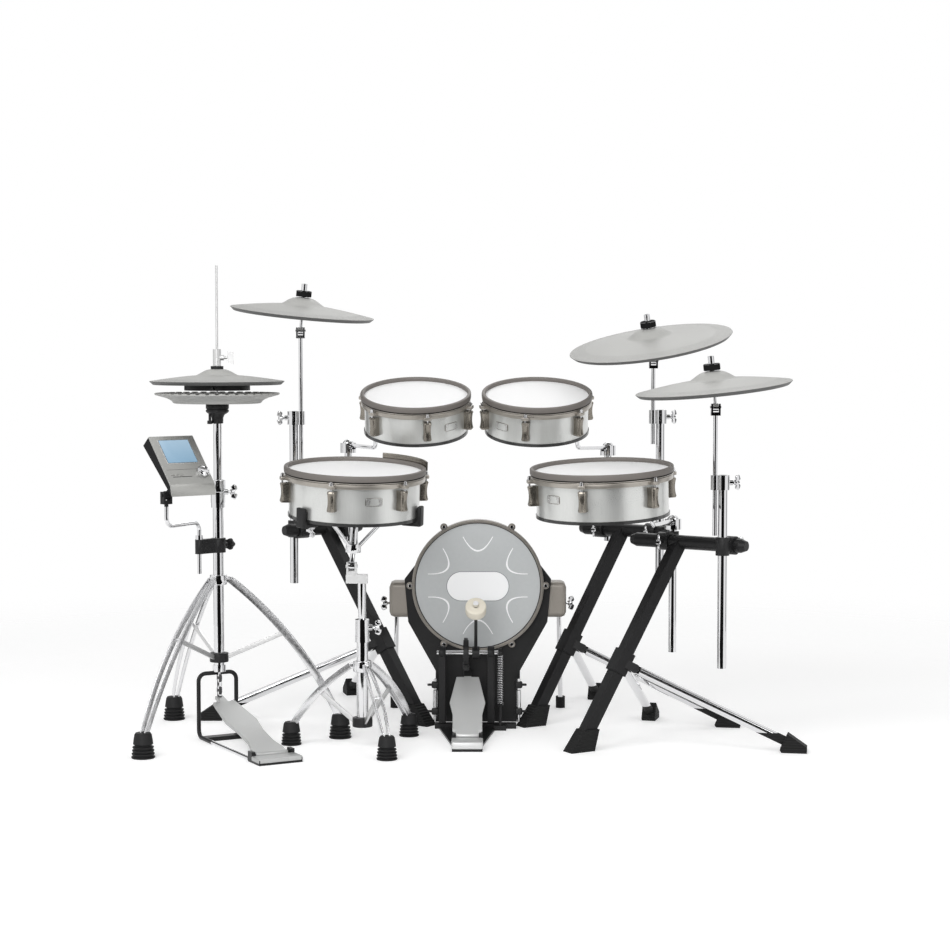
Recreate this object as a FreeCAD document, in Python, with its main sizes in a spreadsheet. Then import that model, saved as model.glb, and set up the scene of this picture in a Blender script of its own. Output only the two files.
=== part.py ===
"""Electronic drum kit: three folding rack tripods with toms and cymbals, a hi-hat on its own stand,
a snare on its own stand, a kick tower, a kick pedal and a sound module.

Millimetres, Z up, X to the player's right, Y away from the player.
The origin lies on the floor under the axle of the kick pedal.
"""
import FreeCAD, Part
import math
import os
import Sketcher
from FreeCAD import Placement, Rotation, Vector

UP = Vector(0, 0, 1)

DIMENSIONS = {
    # Gaps that all pieces share.
    "fit_gap": 0.2,
    "running_gap": 0.5,
    # Drum pads: rubber-covered hoop, mesh head, shell, black base tray.
    "tom_shell_diameter": 254,
    "tom_rim_overhang": 9.5,
    "tom_depth": 101,
    "floor_tom_shell_diameter": 304,
    "floor_tom_rim_overhang": 13,
    "floor_tom_depth": 114,
    "snare_shell_diameter": 304,
    "snare_rim_overhang": 13,
    "snare_depth": 117,
    "rim_lip_width": 9,
    "rim_wall": 5,
    "rim_rounding": 3,
    "rim_height": 30,
    "rubber_height": 14,
    "hoop_inset": 1.5,
    "head_recess": 10,
    "head_thickness": 1.2,
    "flesh_ring_height": 9,
    "shell_wall": 5,
    "tray_height": 7,
    "tray_floor": 4,
    "tray_overhang": 2,
    "ear_width": 18,
    "ear_reach": 11,
    "ear_height": 8,
    "tension_rod_diameter": 5,
    "tension_head_diameter": 9,
    "tension_head_height": 9,
    "lug_width": 20,
    "lug_overhang": 6,
    "lug_height": 46,
    "lug_drop": 6,
    "badge_width": 38,
    "badge_height": 17,
    "badge_thickness": 1.2,
    "badge_drop": 60,
    "lug_count": 6,
    # Places, lean towards the player and lean to the side of the pads, at the rim.
    # A rise is a height above the level of the rack bars, a drop is a depth below it.
    "tom_1_x": -146,
    "tom_2_x": 153,
    "tom_y": 78,
    "tom_rise": 349,
    "tom_lean": 15.5,
    "floor_tom_x": 290,
    "floor_tom_y": -300,
    "floor_tom_rise": 188,
    "floor_tom_lean": 4,
    "floor_tom_roll": -2,
    "snare_x": -278,
    "snare_y": -240,
    "snare_z": 656,
    "snare_lean": 5,
    "snare_roll": 1.7,
    "tom_1_lug_angle": 43,
    "tom_2_lug_angle": 17,
    "floor_tom_lug_angle": 11,
    "snare_lug_angle": 15,
    "tom_1_badge_angle": -46,
    "tom_2_badge_angle": -134,
    "floor_tom_badge_angle": -140,
    "snare_badge_angle": -70,
    # Tom rods: bent rods from the tray to a ball in a socket on top of a post.
    "tom_rod_diameter": 10.5,
    "tom_rod_bend": 14,
    "tom_rod_drop": 42,
    "tom_rod_seat_reach": 102,
    "tom_rod_seat_back": 22,
    "floor_tom_rod_drop": 30,
    "floor_tom_rod_seat_reach": 118,
    "floor_tom_rod_seat_back": 62,
    "rod_boss_diameter": 26,
    "rod_boss_height": 9,
    "ball_diameter": 30,
    "socket_wall": 5,
    "socket_lip": 5,
    "socket_slot_width": 20,
    "tom_1_ball_rise": 212,
    "tom_2_ball_rise": 205,
    "floor_tom_ball_rise": 46,
    # Rack tripods: square legs, folding side tubes, round bars.
    "leg_width": 28,
    "leg_seat": 9,
    "shoe_width": 38,
    "shoe_length": 64,
    "shoe_top_length": 40,
    "shoe_height": 50,
    "bracket_rise": 0.41,
    "bracket_length": 56,
    "bracket_width": 36,
    "bracket_offset": 24,
    "fold_clearance": 2,
    "side_tube_diameter": 22,
    "side_tube_wall": 1.5,
    "side_tube_seat": 15,
    "side_shoe_width": 34,
    "side_shoe_base": 30,
    "side_shoe_toe": 28,
    "side_shoe_toe_height": 14,
    "side_shoe_top": 16,
    "side_shoe_height": 44,
    "side_shoe_heel": 34,
    "side_shoe_heel_height": 6,
    "hinge_eye_diameter": 22,
    "hinge_eye_width": 12,
    "hinge_cheek_width": 5,
    "hinge_pin_diameter": 8,
    "hinge_pin_overhang": 2,
    "bar_diameter": 33,
    "bar_wall": 2.5,
    "bar_cap_length": 14,
    "bar_height": 472,
    "bar_turn": 37,
    # Feet and bar centres of the left, rear right and front right tripods.
    "left_leg_x": -132,
    "left_leg_y": 44,
    "left_side_x": -663,
    "left_side_y": 113,
    "left_back_x": -334,
    "left_back_y": 512,
    "left_bar_x": -378,
    "left_bar_y": 224,
    "rear_leg_x": 138,
    "rear_leg_y": 30,
    "rear_side_x": 624,
    "rear_side_y": 17,
    "rear_back_x": 322,
    "rear_back_y": 439,
    "rear_bar_x": 371,
    "rear_bar_y": 169,
    "front_leg_x": 240,
    "front_leg_y": -300,
    "front_side_x": 737,
    "front_side_y": -311,
    "front_back_x": 441,
    "front_back_y": 127,
    "front_bar_x": 483,
    "front_bar_y": -155,
    "left_bar_inner": 90,
    "left_bar_outer": 112,
    "rear_bar_inner": 110,
    "rear_bar_outer": 124,
    "front_bar_inner": 117,
    "front_bar_outer": 168,
    # Posts stand beside the bars, each held by a two-way clamp.
    "post_diameter": 19,
    "cymbal_tube_diameter": 22,
    "post_wall": 1.5,
    "clamp_wall": 5,
    "clamp_web": 7,
    "clamp_length": 32,
    "clamp_height": 42,
    "boss_diameter": 13,
    "boss_reach": 7,
    "tom_1_post_along": -46,
    "crash_left_along": 74,
    "tom_2_post_along": -66,
    "ride_along": 89,
    "floor_tom_post_along": -38,
    "crash_right_along": 138,
    "tom_post_drop": 33,
    "floor_tom_post_drop": 269,
    "crash_left_tube_drop": 138,
    "crash_left_tube_rise": 298,
    "ride_tube_drop": 122,
    "ride_tube_rise": 303,
    "crash_right_tube_drop": 284,
    "crash_right_tube_rise": 165,
    # Cymbal rods: thin rods held beside the tube tops, tilters, posts, felts.
    "cymbal_rod_diameter": 10.5,
    "side_clamp_height": 34,
    "side_clamp_web": 2,
    "crash_left_rod_rise": 168,
    "ride_rod_rise": 218,
    "crash_right_rod_rise": 25,
    "fork_base_height": 8,
    "fork_cheek_width": 4.5,
    "fork_depth": 17,
    "tilter_eye_diameter": 18,
    "tilter_eye_width": 12,
    "tilter_pin_diameter": 6,
    "tilter_neck": 70,
    "tilter_flange_height": 4,
    "cymbal_seat_diameter": 17,
    "cymbal_seat_height": 8,
    "cymbal_post_diameter": 8,
    "cymbal_felt_diameter": 38,
    "cymbal_felt_height": 15,
    "cymbal_nut_diameter": 15,
    "cymbal_nut_height": 18,
    "cymbal_hole_diameter": 11,
    "cymbal_play": 0.8,
    "cymbal_top_play": 1.8,
    # Cymbals.
    "crash_diameter": 362,
    "ride_diameter": 408,
    "cymbal_thickness": 5,
    "cymbal_bevel": 9,
    "cymbal_edge": 10,
    "cymbal_bow": 17,
    "bell_diameter": 122,
    "bell_rise": 20,
    "bell_top_diameter": 48,
    "crash_left_rise": 547,
    "crash_left_lean": 3.8,
    "crash_left_roll": 5.7,
    "ride_rise": 471,
    "ride_lean": 10.2,
    "ride_roll": -9.4,
    "crash_right_rise": 368,
    "crash_right_lean": 2.8,
    "crash_right_roll": -6,
    # Wing bolts that lock the clamps and collars.
    "wing_shank_diameter": 7,
    "wing_shank_length": 9,
    "wing_span": 30,
    "wing_height": 14,
    "wing_thickness": 5,
    # Hi-hat stand and pedal.
    "hihat_x": -610,
    "hihat_y": -130,
    "hihat_tube_diameter": 25,
    "hihat_tube_wall": 2,
    "hihat_tube_bottom": 176,
    "hihat_tube_top": 552,
    "hihat_inner_diameter": 20,
    "hihat_inner_wall": 2,
    "hihat_inner_bottom": 470,
    "hihat_inner_top": 751,
    "hihat_cap_height": 12,
    "hihat_lock_height": 50,
    "hihat_lock_wall": 7,
    "hihat_seat_height": 48,
    "hihat_seat_bottom_diameter": 28,
    "hihat_seat_top_diameter": 56,
    "hihat_rod_diameter": 6.6,
    "hihat_tip_diameter": 6,
    "hihat_rod_top": 1124,
    "hihat_rod_bottom": 150,
    "hihat_lower_cymbal_diameter": 294,
    "hihat_lower_floor_diameter": 206,
    "hihat_lower_step_diameter": 222,
    "hihat_lower_step_height": 9,
    "hihat_lower_height": 23,
    "hihat_cymbal_wall": 5,
    "hihat_sensor_diameter": 155,
    "hihat_sensor_height": 13,
    "hihat_cymbal_rise": 53,
    "hihat_bow": 13,
    "hihat_bell_rise": 15,
    "hihat_bell_diameter": 108,
    "hihat_cymbal_diameter": 318,
    "hihat_felt_diameter": 30,
    "hihat_felt_height": 7,
    "hihat_clutch_diameter": 19,
    "hihat_clutch_height": 40,
    "hihat_stub_length": 26,
    "hihat_stub_diameter": 7,
    "tripod_collar_wall": 8,
    "tripod_strip_width": 16,
    "tripod_strip_thickness": 3,
    "tripod_strip_spacing": 20,
    "tripod_brace_thickness": 5,
    "hihat_leg_radius": 288,
    "hihat_leg_top": 380,
    "hihat_leg_bow": 20,
    "hihat_collar_height": 24,
    "hihat_low_collar_z": 194,
    "hihat_low_collar_height": 22,
    "hihat_brace_share": 0.42,
    "hihat_shoe_diameter": 54,
    "hihat_shoe_top_diameter": 40,
    "hihat_shoe_height": 58,
    "hihat_pedal_turn": -61.3,
    "hihat_frame_width": 96,
    "hihat_frame_rod": 10,
    "hihat_frame_top": 160,
    "hihat_frame_bend": 18,
    "hihat_board_length": 291,
    "hihat_board_toe_gap": 29,
    "hihat_board_tab_width": 20,
    "hihat_board_toe_z": 88,
    "hihat_board_width": 78,
    "hihat_board_waist": 62,
    "hihat_board_toe_width": 56,
    "hihat_board_thickness": 8,
    "hihat_heel_z": 14,
    "hihat_heel_length": 46,
    "hihat_heel_height": 12,
    "hihat_hinge_barrel": 14,
    "hihat_hinge_pin": 7,
    "hihat_ear_width": 9,
    "hihat_frame_setback": 12.5,
    "hihat_cross_along": 24,
    "hihat_cross_depth": 26,
    "hihat_chain_width": 12,
    "hihat_chain_thickness": 6,
    # Snare stand.
    "snare_stand_x": -263,
    "snare_stand_y": -240,
    "snare_tube_diameter": 27,
    "snare_tube_wall": 2,
    "snare_tube_bottom": 47,
    "snare_tube_top": 246,
    "snare_cap_height": 14,
    "snare_lock_height": 39,
    "snare_lock_wall": 7,
    "snare_inner_diameter": 19,
    "snare_inner_bottom": 120,
    "snare_inner_top": 396,
    "snare_leg_radius": 170,
    "snare_leg_turn": 52,
    "snare_leg_top": 189,
    "snare_leg_bow": 8,
    "snare_collar_height": 26,
    "snare_low_collar_z": 58,
    "snare_low_collar_height": 22,
    "snare_brace_share": 0.46,
    "snare_shoe_diameter": 48,
    "snare_shoe_top_diameter": 36,
    "snare_shoe_height": 54,
    "snare_tilt_rise": 28,
    "snare_tilt_offset": 24,
    "snare_tilt_eye": 20,
    "snare_tilt_eye_width": 14,
    "snare_tilt_pin": 8,
    "snare_yoke_height": 12,
    "snare_yoke_depth": 26,
    "snare_stem_diameter": 12,
    "snare_hub_diameter": 36,
    "snare_hub_height": 20,
    "snare_hub_drop": 202,
    "snare_column_diameter": 20,
    "snare_arm_turn": 105,
    "snare_arm_width": 12,
    "snare_arm_height": 8,
    "snare_link_reach": 72,
    "snare_link_diameter": 9,
    "snare_grip_width": 26,
    "snare_grip_depth": 34,
    "snare_grip_floor": 8,
    "snare_grip_lip": 26,
    "side_rim_thickness": 4,
    "side_rim_rise": 12,
    "side_rim_sweep": 62,
    "side_rim_start": 8,
    # Kick tower.
    "kick_x": 7,
    "kick_z": 344,
    "kick_head_y": 60,
    "kick_head_diameter": 316,
    "kick_hoop_diameter": 326,
    "kick_hoop_depth": 30,
    "kick_hoop_overlap": 3,
    "kick_lip_height": 5,
    "kick_head_thickness": 2,
    "kick_ear_diameter": 18,
    "kick_ear_count": 6,
    "kick_ear_height": 7,
    "kick_ear_reach": 9,
    "kick_bolt_diameter": 9,
    "kick_bolt_height": 6,
    "kick_plate_thickness": 8,
    "kick_plate_foot": 105,
    "kick_plate_foot_top": 128,
    "kick_plate_knee": 173,
    "kick_plate_knee_z": 250,
    "kick_plate_wide": 182,
    "kick_plate_wide_z": 357,
    "kick_plate_shoulder": 128,
    "kick_plate_shoulder_z": 428,
    "kick_plate_top": 66,
    "kick_plate_top_z": 470,
    "kick_housing_inner": 150,
    "kick_housing_outer": 220,
    "kick_housing_bottom": 260,
    "kick_housing_top": 349,
    "kick_housing_depth": 60,
    "kick_bolt_z": 293,
    "kick_spur_diameter": 12,
    "kick_spur_x": 214,
    "kick_spur_y": 294,
    "kick_spur_tip_diameter": 24,
    "kick_spur_tip_length": 30,
    # Kick pedal.
    "pedal_axle_z": 186,
    "pedal_axle_diameter": 11,
    "pedal_left_x": -80,
    "pedal_right_x": 39,
    "pedal_upright_width": 17,
    "pedal_upright_depth": 26,
    "pedal_bearing_diameter": 32,
    "pedal_base_thickness": 5,
    "pedal_base_width": 140,
    "pedal_bar_height": 12,
    "pedal_bar_depth": 26,
    "pedal_bar_overhang": 10,
    "pedal_centre_x": -18,
    "pedal_heel_length": 60,
    "pedal_heel_width": 71,
    "pedal_heel_height": 20,
    "pedal_hinge_z": 24,
    "pedal_hinge_y": -236,
    "pedal_hinge_pin": 7,
    "pedal_hinge_barrel": 13,
    "pedal_ear_width": 8,
    "pedal_board_toe_y": 6,
    "pedal_board_toe_z": 122,
    "pedal_board_thickness": 7,
    "pedal_board_toe_width": 55,
    "pedal_board_wide": 85,
    "pedal_board_waist": 70,
    "pedal_cam_x": -22,
    "pedal_cam_diameter": 62,
    "pedal_cam_width": 13,
    "pedal_chain_width": 9,
    "pedal_chain_thickness": 5,
    "pedal_hub_x": 2,
    "pedal_hub_diameter": 30,
    "pedal_hub_width": 18,
    "beater_lean": 46,
    "beater_rod_diameter": 8,
    "beater_rod_length": 150,
    "beater_flange_diameter": 20,
    "beater_flange_height": 4,
    "beater_diameter": 50,
    "beater_length": 42,
    "beater_nut_diameter": 13,
    "beater_nut_height": 8,
    "rocker_x": 61,
    "rocker_reach": 24,
    "rocker_width": 9,
    "rocker_height": 8,
    "axle_overhang": 5,
    "spring_diameter": 15,
    "spring_wire": 1.6,
    "spring_turns": 28,
    "spring_bottom": 62,
    "spring_stud_diameter": 8,
    "spring_seat_height": 3,
    "stabiliser_reach": 40,
    # Sound module and its arm.
    "module_width": 118,
    "module_length": 161,
    "module_thickness": 33,
    "module_foot_thickness": 15,
    "module_face_thickness": 3,
    "module_lip_length": 20,
    "module_x": -675,
    "module_y": -300,
    "module_z": 656,
    "module_turn": 40,
    "module_lean": 41,
    "module_dial_diameter": 30,
    "module_dial_height": 9,
    "module_screen_width": 79,
    "module_screen_length": 66,
    "module_screen_thickness": 1,
    "module_button_size": 7,
    "module_button_height": 2,
    "module_stem_diameter": 10,
    "module_eye_diameter": 20,
    "module_eye_width": 12,
    "module_pin_diameter": 7,
    "arm_diameter": 9.5,
    "arm_bend": 22,
    "arm_top_x": -709,
    "arm_top_y": -293,
    "arm_top_z": 592,
    "arm_elbow_z": 520,
    "arm_clamp_x": -650,
    "arm_clamp_y": -170,
    "arm_bottom_z": 398,
    "arm_clamp_z": 462,
    "arm_clamp_height": 34,
    "arm_collar_diameter": 17,
    "arm_collar_height": 10,
    "knob_diameter": 26,
    "knob_height": 11,
}

doc = FreeCAD.newDocument("drum_kit")
sheet = doc.addObject("Spreadsheet::Sheet", "dims")
for row, (alias, number) in enumerate(DIMENSIONS.items(), start=1):
    sheet.set(f"A{row}", alias)
    sheet.set(f"B{row}", str(number))
    sheet.setAlias(f"B{row}", alias)
doc.recompute()


class Size:
    """A cell of the sheet, or a formula of cells: its number and the expression that gives it."""

    def __init__(self, number, text):
        self.number = number
        self.text = text

    def __float__(self):
        return self.number

    def __neg__(self):
        return Size(-self.number, f"(-1 * {self.text})")

    def __add__(self, other):
        return Size(self.number + float(other), f"({self.text} + {as_text(other)})")

    def __sub__(self, other):
        return Size(self.number - float(other), f"({self.text} - {as_text(other)})")

    def __mul__(self, other):
        return Size(self.number * float(other), f"({self.text} * {as_text(other)})")

    def __truediv__(self, other):
        return Size(self.number / float(other), f"({self.text} / {as_text(other)})")


class Cells:
    """The sheet's cells by name."""

    def __getattr__(self, alias):
        return Size(float(sheet.get(alias)), f"dims.{alias}")


def as_text(size):
    return size.text if isinstance(size, Size) else f"({float(size)})"


def cell(alias):
    return getattr(dim, alias)


def at(x, y, z):
    """A point from sizes or numbers."""
    return Vector(float(x), float(y), float(z))


def bind(item, name, size):
    """Ties one property of an object to the sheet."""
    if isinstance(size, Size):
        item.setExpression(name, size.text)
    else:
        setattr(item, name, size)


dim = Cells()
nodes = []


def node(label, item):
    """Names a finished sub-part, which is then written to a file of that name."""
    item.Label = label
    nodes.append(item)
    return item


def group(pieces):
    """Separate solids that share one sub-part."""
    item = doc.addObject("Part::Compound", "group")
    item.Links = pieces
    return item


def fuse(pieces):
    """Solids that are made as one."""
    item = doc.addObject("Part::MultiFuse", "fusion")
    item.Shapes = pieces
    return item


def cut(base, tools):
    """A solid with other solids taken away."""
    for tool in tools:
        item = doc.addObject("Part::Cut", "cut")
        item.Base = base
        item.Tool = tool
        base = item
    return base


def rod(radius, start, end):
    """A round bar from one point to another."""
    item = doc.addObject("Part::Cylinder", "rod")
    bind(item, "Radius", radius)
    item.Height = (end - start).Length
    item.Placement = Placement(start, Rotation(UP, end - start))
    return item


def disc(radius, height, start, direction=UP):
    """A round bar from a point, as long as a size of its own."""
    item = doc.addObject("Part::Cylinder", "disc")
    bind(item, "Radius", radius)
    bind(item, "Height", height)
    item.Placement = Placement(start, Rotation(UP, direction))
    return item


def tube(radius, wall, start, end):
    """A round tube, open at both ends."""
    beyond = (end - start).normalize()
    return cut(rod(radius, start, end), [rod(radius - wall, start - beyond, end + beyond)])


def collar(radius, bore, height, start, direction=UP):
    """A ring of some height around a bore."""
    along = Vector(direction).normalize()
    hole = rod(bore, start - along, start + along * (float(height) + 1))
    return cut(disc(radius, height, start, direction), [hole])


def ball(radius, centre):
    item = doc.addObject("Part::Sphere", "ball")
    bind(item, "Radius", radius)
    item.Placement.Base = centre
    return item


def block(length, width, height, centre, turn=Rotation()):
    """A box about its centre."""
    item = doc.addObject("Part::Box", "block")
    bind(item, "Length", length)
    bind(item, "Width", width)
    bind(item, "Height", height)
    corner = at(length, width, height) * -0.5
    item.Placement = Placement(centre + turn.multVec(corner), turn)
    return item


def plane_of(body, role):
    """One of a body's own origin planes."""
    return next(plane for plane in body.Origin.OriginFeatures if plane.Role == role)


def outline_sketch(body, outline, role):
    """A closed outline of straight sides, each corner tied to the sheet."""
    sketch = body.newObject("Sketcher::SketchObject", "outline")
    sketch.AttachmentSupport = (plane_of(body, role), [""])
    sketch.MapMode = "FlatFace"
    corners = [at(across, along, 0) for across, along in outline]
    count = len(corners)
    for index in range(count):
        sketch.addGeometry(Part.LineSegment(corners[index], corners[(index + 1) % count]), False)
    for index in range(count):
        sketch.addConstraint(Sketcher.Constraint("Coincident", index, 2, (index + 1) % count, 1))
    for index, corner in enumerate(outline):
        for kind, size in zip(("DistanceX", "DistanceY"), corner):
            rule = sketch.addConstraint(Sketcher.Constraint(kind, -1, 1, index, 1, float(size)))
            if isinstance(size, Size):
                sketch.setExpression(f"Constraints[{rule}]", size.text)
    return sketch


def lathe(outline, place, sweep=360):
    """A turned piece: an outline of (radius, height) corners spun about the Z axis."""
    body = doc.addObject("PartDesign::Body", "turned")
    sketch = outline_sketch(body, outline, "XZ_Plane")
    spin = body.newObject("PartDesign::Revolution", "spin")
    spin.Profile = sketch
    spin.ReferenceAxis = (sketch, ["V_Axis"])
    bind(spin, "Angle", sweep)
    body.Placement = place
    return body


def plate(outline, thickness, place):
    """A flat piece: an outline in its own XY plane, as thick as given, upwards."""
    body = doc.addObject("PartDesign::Body", "flat")
    sketch = outline_sketch(body, outline, "XY_Plane")
    pad = body.newObject("PartDesign::Pad", "pad")
    pad.Profile = sketch
    bind(pad, "Length", thickness)
    body.Placement = place
    return body


def bent_rod(points, radius, bend):
    """A round bar of straight runs joined by tangent arcs."""
    edges = []
    last = points[0]
    for before, corner, after in zip(points, points[1:], points[2:]):
        back = (before - corner).normalize()
        ahead = (after - corner).normalize()
        half_turn = (math.pi - back.getAngle(ahead)) / 2
        setback = float(bend) * math.tan(half_turn)
        middle = corner + (back + ahead).normalize() * float(bend) * (1 / math.cos(half_turn) - 1)
        edges.append(Part.LineSegment(last, corner + back * setback).toShape())
        edges.append(Part.Arc(corner + back * setback, middle, corner + ahead * setback).toShape())
        last = corner + ahead * setback
    edges.append(Part.LineSegment(last, points[-1]).toShape())
    section = Part.Wire(Part.Circle(points[0], points[1] - points[0], float(radius)).toShape())
    item = doc.addObject("Part::Feature", "bent_rod")
    item.Shape = Part.Wire(edges).makePipeShell([section], True, False)
    return item


def turned(x, y, z, lean, roll):
    """A place leaned towards the player and rolled to the side."""
    roll_turn = Rotation(Vector(0, 1, 0), float(roll))
    lean_turn = Rotation(Vector(1, 0, 0), float(lean))
    return Placement(at(x, y, z), roll_turn * lean_turn)


def along_frame(direction, side):
    """A turn whose Z axis follows a direction, with X as near as can be to a side."""
    return Rotation(side, Vector(), direction, "ZXY")


def report(what, point):
    """Prints a pivot or an axis, which the record of the joints repeats."""
    print(what, [round(number, 4) for number in point])


def wing_bolt(seat, direction, span_axis=UP):
    """A wing bolt: a shank from its seat and a flat wing at its end."""
    out = Vector(direction).normalize()
    turn = along_frame(out, span_axis)
    shank = disc(dim.wing_shank_diameter / 2, dim.wing_shank_length, seat, out)
    middle = seat + out * float(dim.wing_shank_length + dim.wing_height / 2 - 1)
    wing = block(dim.wing_span, dim.wing_thickness, dim.wing_height, middle, turn)
    return fuse([shank, wing])


wing_bolts = []


def side_rim_bar(rim, place):
    """A raised bar along part of the snare's rim, which senses rim clicks."""
    inner = rim / 2 + dim.running_gap
    outer = inner + dim.side_rim_thickness
    low = dim.fit_gap - dim.head_recess
    turn = Placement(Vector(), Rotation(UP, float(dim.side_rim_start)))
    return lathe([(inner, low), (outer, low), (outer, dim.side_rim_rise), (inner, dim.side_rim_rise)],
                 place * turn, dim.side_rim_sweep)


def drum_pad(name, rim, shell, depth, place, lug_angle, badge_angle, extras=()):
    """One pad, about the centre of its rim: hoop with its hardware, mesh head, shell on a base tray."""
    rim_radius = rim / 2
    shell_radius = shell / 2
    lip = rim_radius - dim.rim_lip_width
    inside = rim_radius - dim.rim_wall
    bore = shell_radius - dim.shell_wall
    head_top = -dim.head_recess
    shell_top = head_top - dim.head_thickness
    ring_bottom = head_top - dim.flesh_ring_height
    tray_top = dim.tray_height - depth

    def spot(angle, radius, height):
        """A place on the pad at an angle about its axis, with X pointing outwards."""
        turn = Rotation(UP, angle)
        return place.multVec(turn.multVec(at(radius, 0, height))), place.Rotation * turn

    node(f"{name}_head", lathe([
        (0, head_top),
        (0, shell_top),
        (shell_radius + dim.fit_gap, shell_top),
        (shell_radius + dim.fit_gap, ring_bottom),
        (inside - dim.fit_gap, ring_bottom),
        (inside - dim.fit_gap, head_top),
    ], place))

    shell_ring = lathe([
        (bore, tray_top),
        (shell_radius, tray_top),
        (shell_radius, shell_top),
        (bore, shell_top),
    ], place)
    tray = lathe([
        (0, -depth),
        (shell_radius + dim.tray_overhang, -depth),
        (shell_radius + dim.tray_overhang, tray_top),
        (bore, tray_top),
        (bore, dim.tray_floor - depth),
        (0, dim.tray_floor - depth),
    ], place)
    badge_face = shell_radius + dim.badge_thickness
    centre, turn = spot(float(badge_angle), shell_radius, -dim.badge_drop)
    badge_block = block(dim.badge_width / 2, dim.badge_width, dim.badge_height, centre, turn)
    badge_low, badge_turn = spot(0, 0, -depth)
    badge_ring = collar(badge_face, shell_radius + dim.fit_gap, depth, badge_low, place.Rotation.multVec(UP))
    badge = doc.addObject("Part::Common", "badge")
    badge.Base = badge_ring
    badge.Tool = badge_block
    node(f"{name}_shell", group([shell_ring, tray, badge]))

    rubber = lathe([
        (inside, -dim.rubber_height),
        (rim_radius - dim.hoop_inset, -dim.rubber_height),
        (rim_radius, dim.hoop_inset - dim.rubber_height),
        (rim_radius, -dim.rim_rounding),
        (rim_radius - dim.rim_rounding, 0),
        (lip + dim.rim_rounding, 0),
        (lip, -dim.rim_rounding),
        (lip, head_top + dim.fit_gap),
        (inside, head_top + dim.fit_gap),
    ], place)
    band = lathe([
        (inside, -dim.rim_height),
        (rim_radius - dim.hoop_inset, -dim.rim_height),
        (rim_radius - dim.hoop_inset, -dim.rubber_height),
        (inside, -dim.rubber_height),
    ], place)
    rod_circle = rim_radius + dim.ear_reach / 2
    ear_top = dim.ear_height - dim.rim_height
    lug_top = -dim.rim_height - dim.lug_drop
    ear_inner = inside + dim.fit_gap
    ear_outer = rim_radius + dim.ear_reach
    lug_outer = rod_circle + dim.lug_overhang
    axis = place.Rotation.multVec(UP)
    ears = []
    holes = []
    hardware = []
    for index in range(int(float(dim.lug_count))):
        angle = float(lug_angle) + 360 * index / float(dim.lug_count)
        centre, turn = spot(angle, (ear_inner + ear_outer) / 2, ear_top - dim.ear_height / 2)
        ears.append(block(ear_outer - ear_inner, dim.ear_width, dim.ear_height, centre, turn))
        low = spot(angle, rod_circle, lug_top)[0]
        seat = spot(angle, rod_circle, ear_top)[0]
        holes.append(rod(dim.tension_rod_diameter / 2 + dim.fit_gap, low, seat + axis))
        stem = rod(dim.tension_rod_diameter / 2, low, seat)
        cap = disc(dim.tension_head_diameter / 2, dim.tension_head_height, seat, axis)
        hardware.append(fuse([stem, cap]))
        centre, turn = spot(angle, (shell_radius + lug_outer) / 2, lug_top - dim.lug_height / 2)
        lug = block(lug_outer - shell_radius, dim.lug_width, dim.lug_height, centre, turn)
        hardware.append(cut(lug, [disc(shell_radius + dim.fit_gap, depth, badge_low, axis)]))
    hoop = cut(fuse([band] + ears), holes)
    node(f"{name}_hoop", group([rubber, hoop] + hardware + list(extras)))


def tom_rod(name, place, depth, side, seat_reach, seat_back, drop, ball_centre):
    """A bent rod from a boss under the pad's tray to the ball in its socket; gives the rod's bend."""
    axis = place.Rotation.multVec(UP)
    seat = place.multVec(at(side * float(seat_reach), seat_back, -depth))
    boss = disc(dim.rod_boss_diameter / 2, dim.rod_boss_height, seat, -axis)
    start = seat - axis * float(dim.rod_boss_height)
    corner = start - axis * float(drop)
    stem = bent_rod([start, corner, ball_centre], dim.tom_rod_diameter / 2, dim.tom_rod_bend)
    node(f"{name}_rod", group([boss, fuse([stem, ball(dim.ball_diameter / 2, ball_centre)])]))
    return corner


def ball_socket(centre, rod_corner):
    """A cup on top of a post that holds a ball, slotted where the rod comes out."""
    bottom = dim.ball_diameter / 2 + dim.socket_wall
    cup = disc(bottom, bottom + dim.socket_lip, centre - UP * float(bottom))
    out = (rod_corner - centre).normalize()
    slot_centre = centre + out * float(bottom)
    slot = block(dim.socket_slot_width, dim.socket_slot_width, bottom * 2, slot_centre, along_frame(out, UP))
    return cut(cup, [ball(dim.ball_diameter / 2 + dim.fit_gap, centre), slot])


class RackBar:
    """The level bar of one tripod: its centre, its outward direction and its backward direction."""

    def __init__(self, name, side):
        self.name = name
        angle = math.radians(float(dim.bar_turn))
        self.centre = at(cell(f"{name}_bar_x"), cell(f"{name}_bar_y"), dim.bar_height)
        self.out = Vector(side * math.cos(angle), -math.sin(angle), 0)
        self.back = Vector(side * math.sin(angle), math.cos(angle), 0)

    def post_foot(self, along, side, radius):
        """Where a post of some radius stands beside the bar, on the floor."""
        offset = dim.bar_diameter / 2 + dim.clamp_web + radius
        spot = self.centre + self.out * float(along) + self.back * side * float(offset)
        return at(spot.x, spot.y, 0)


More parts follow.
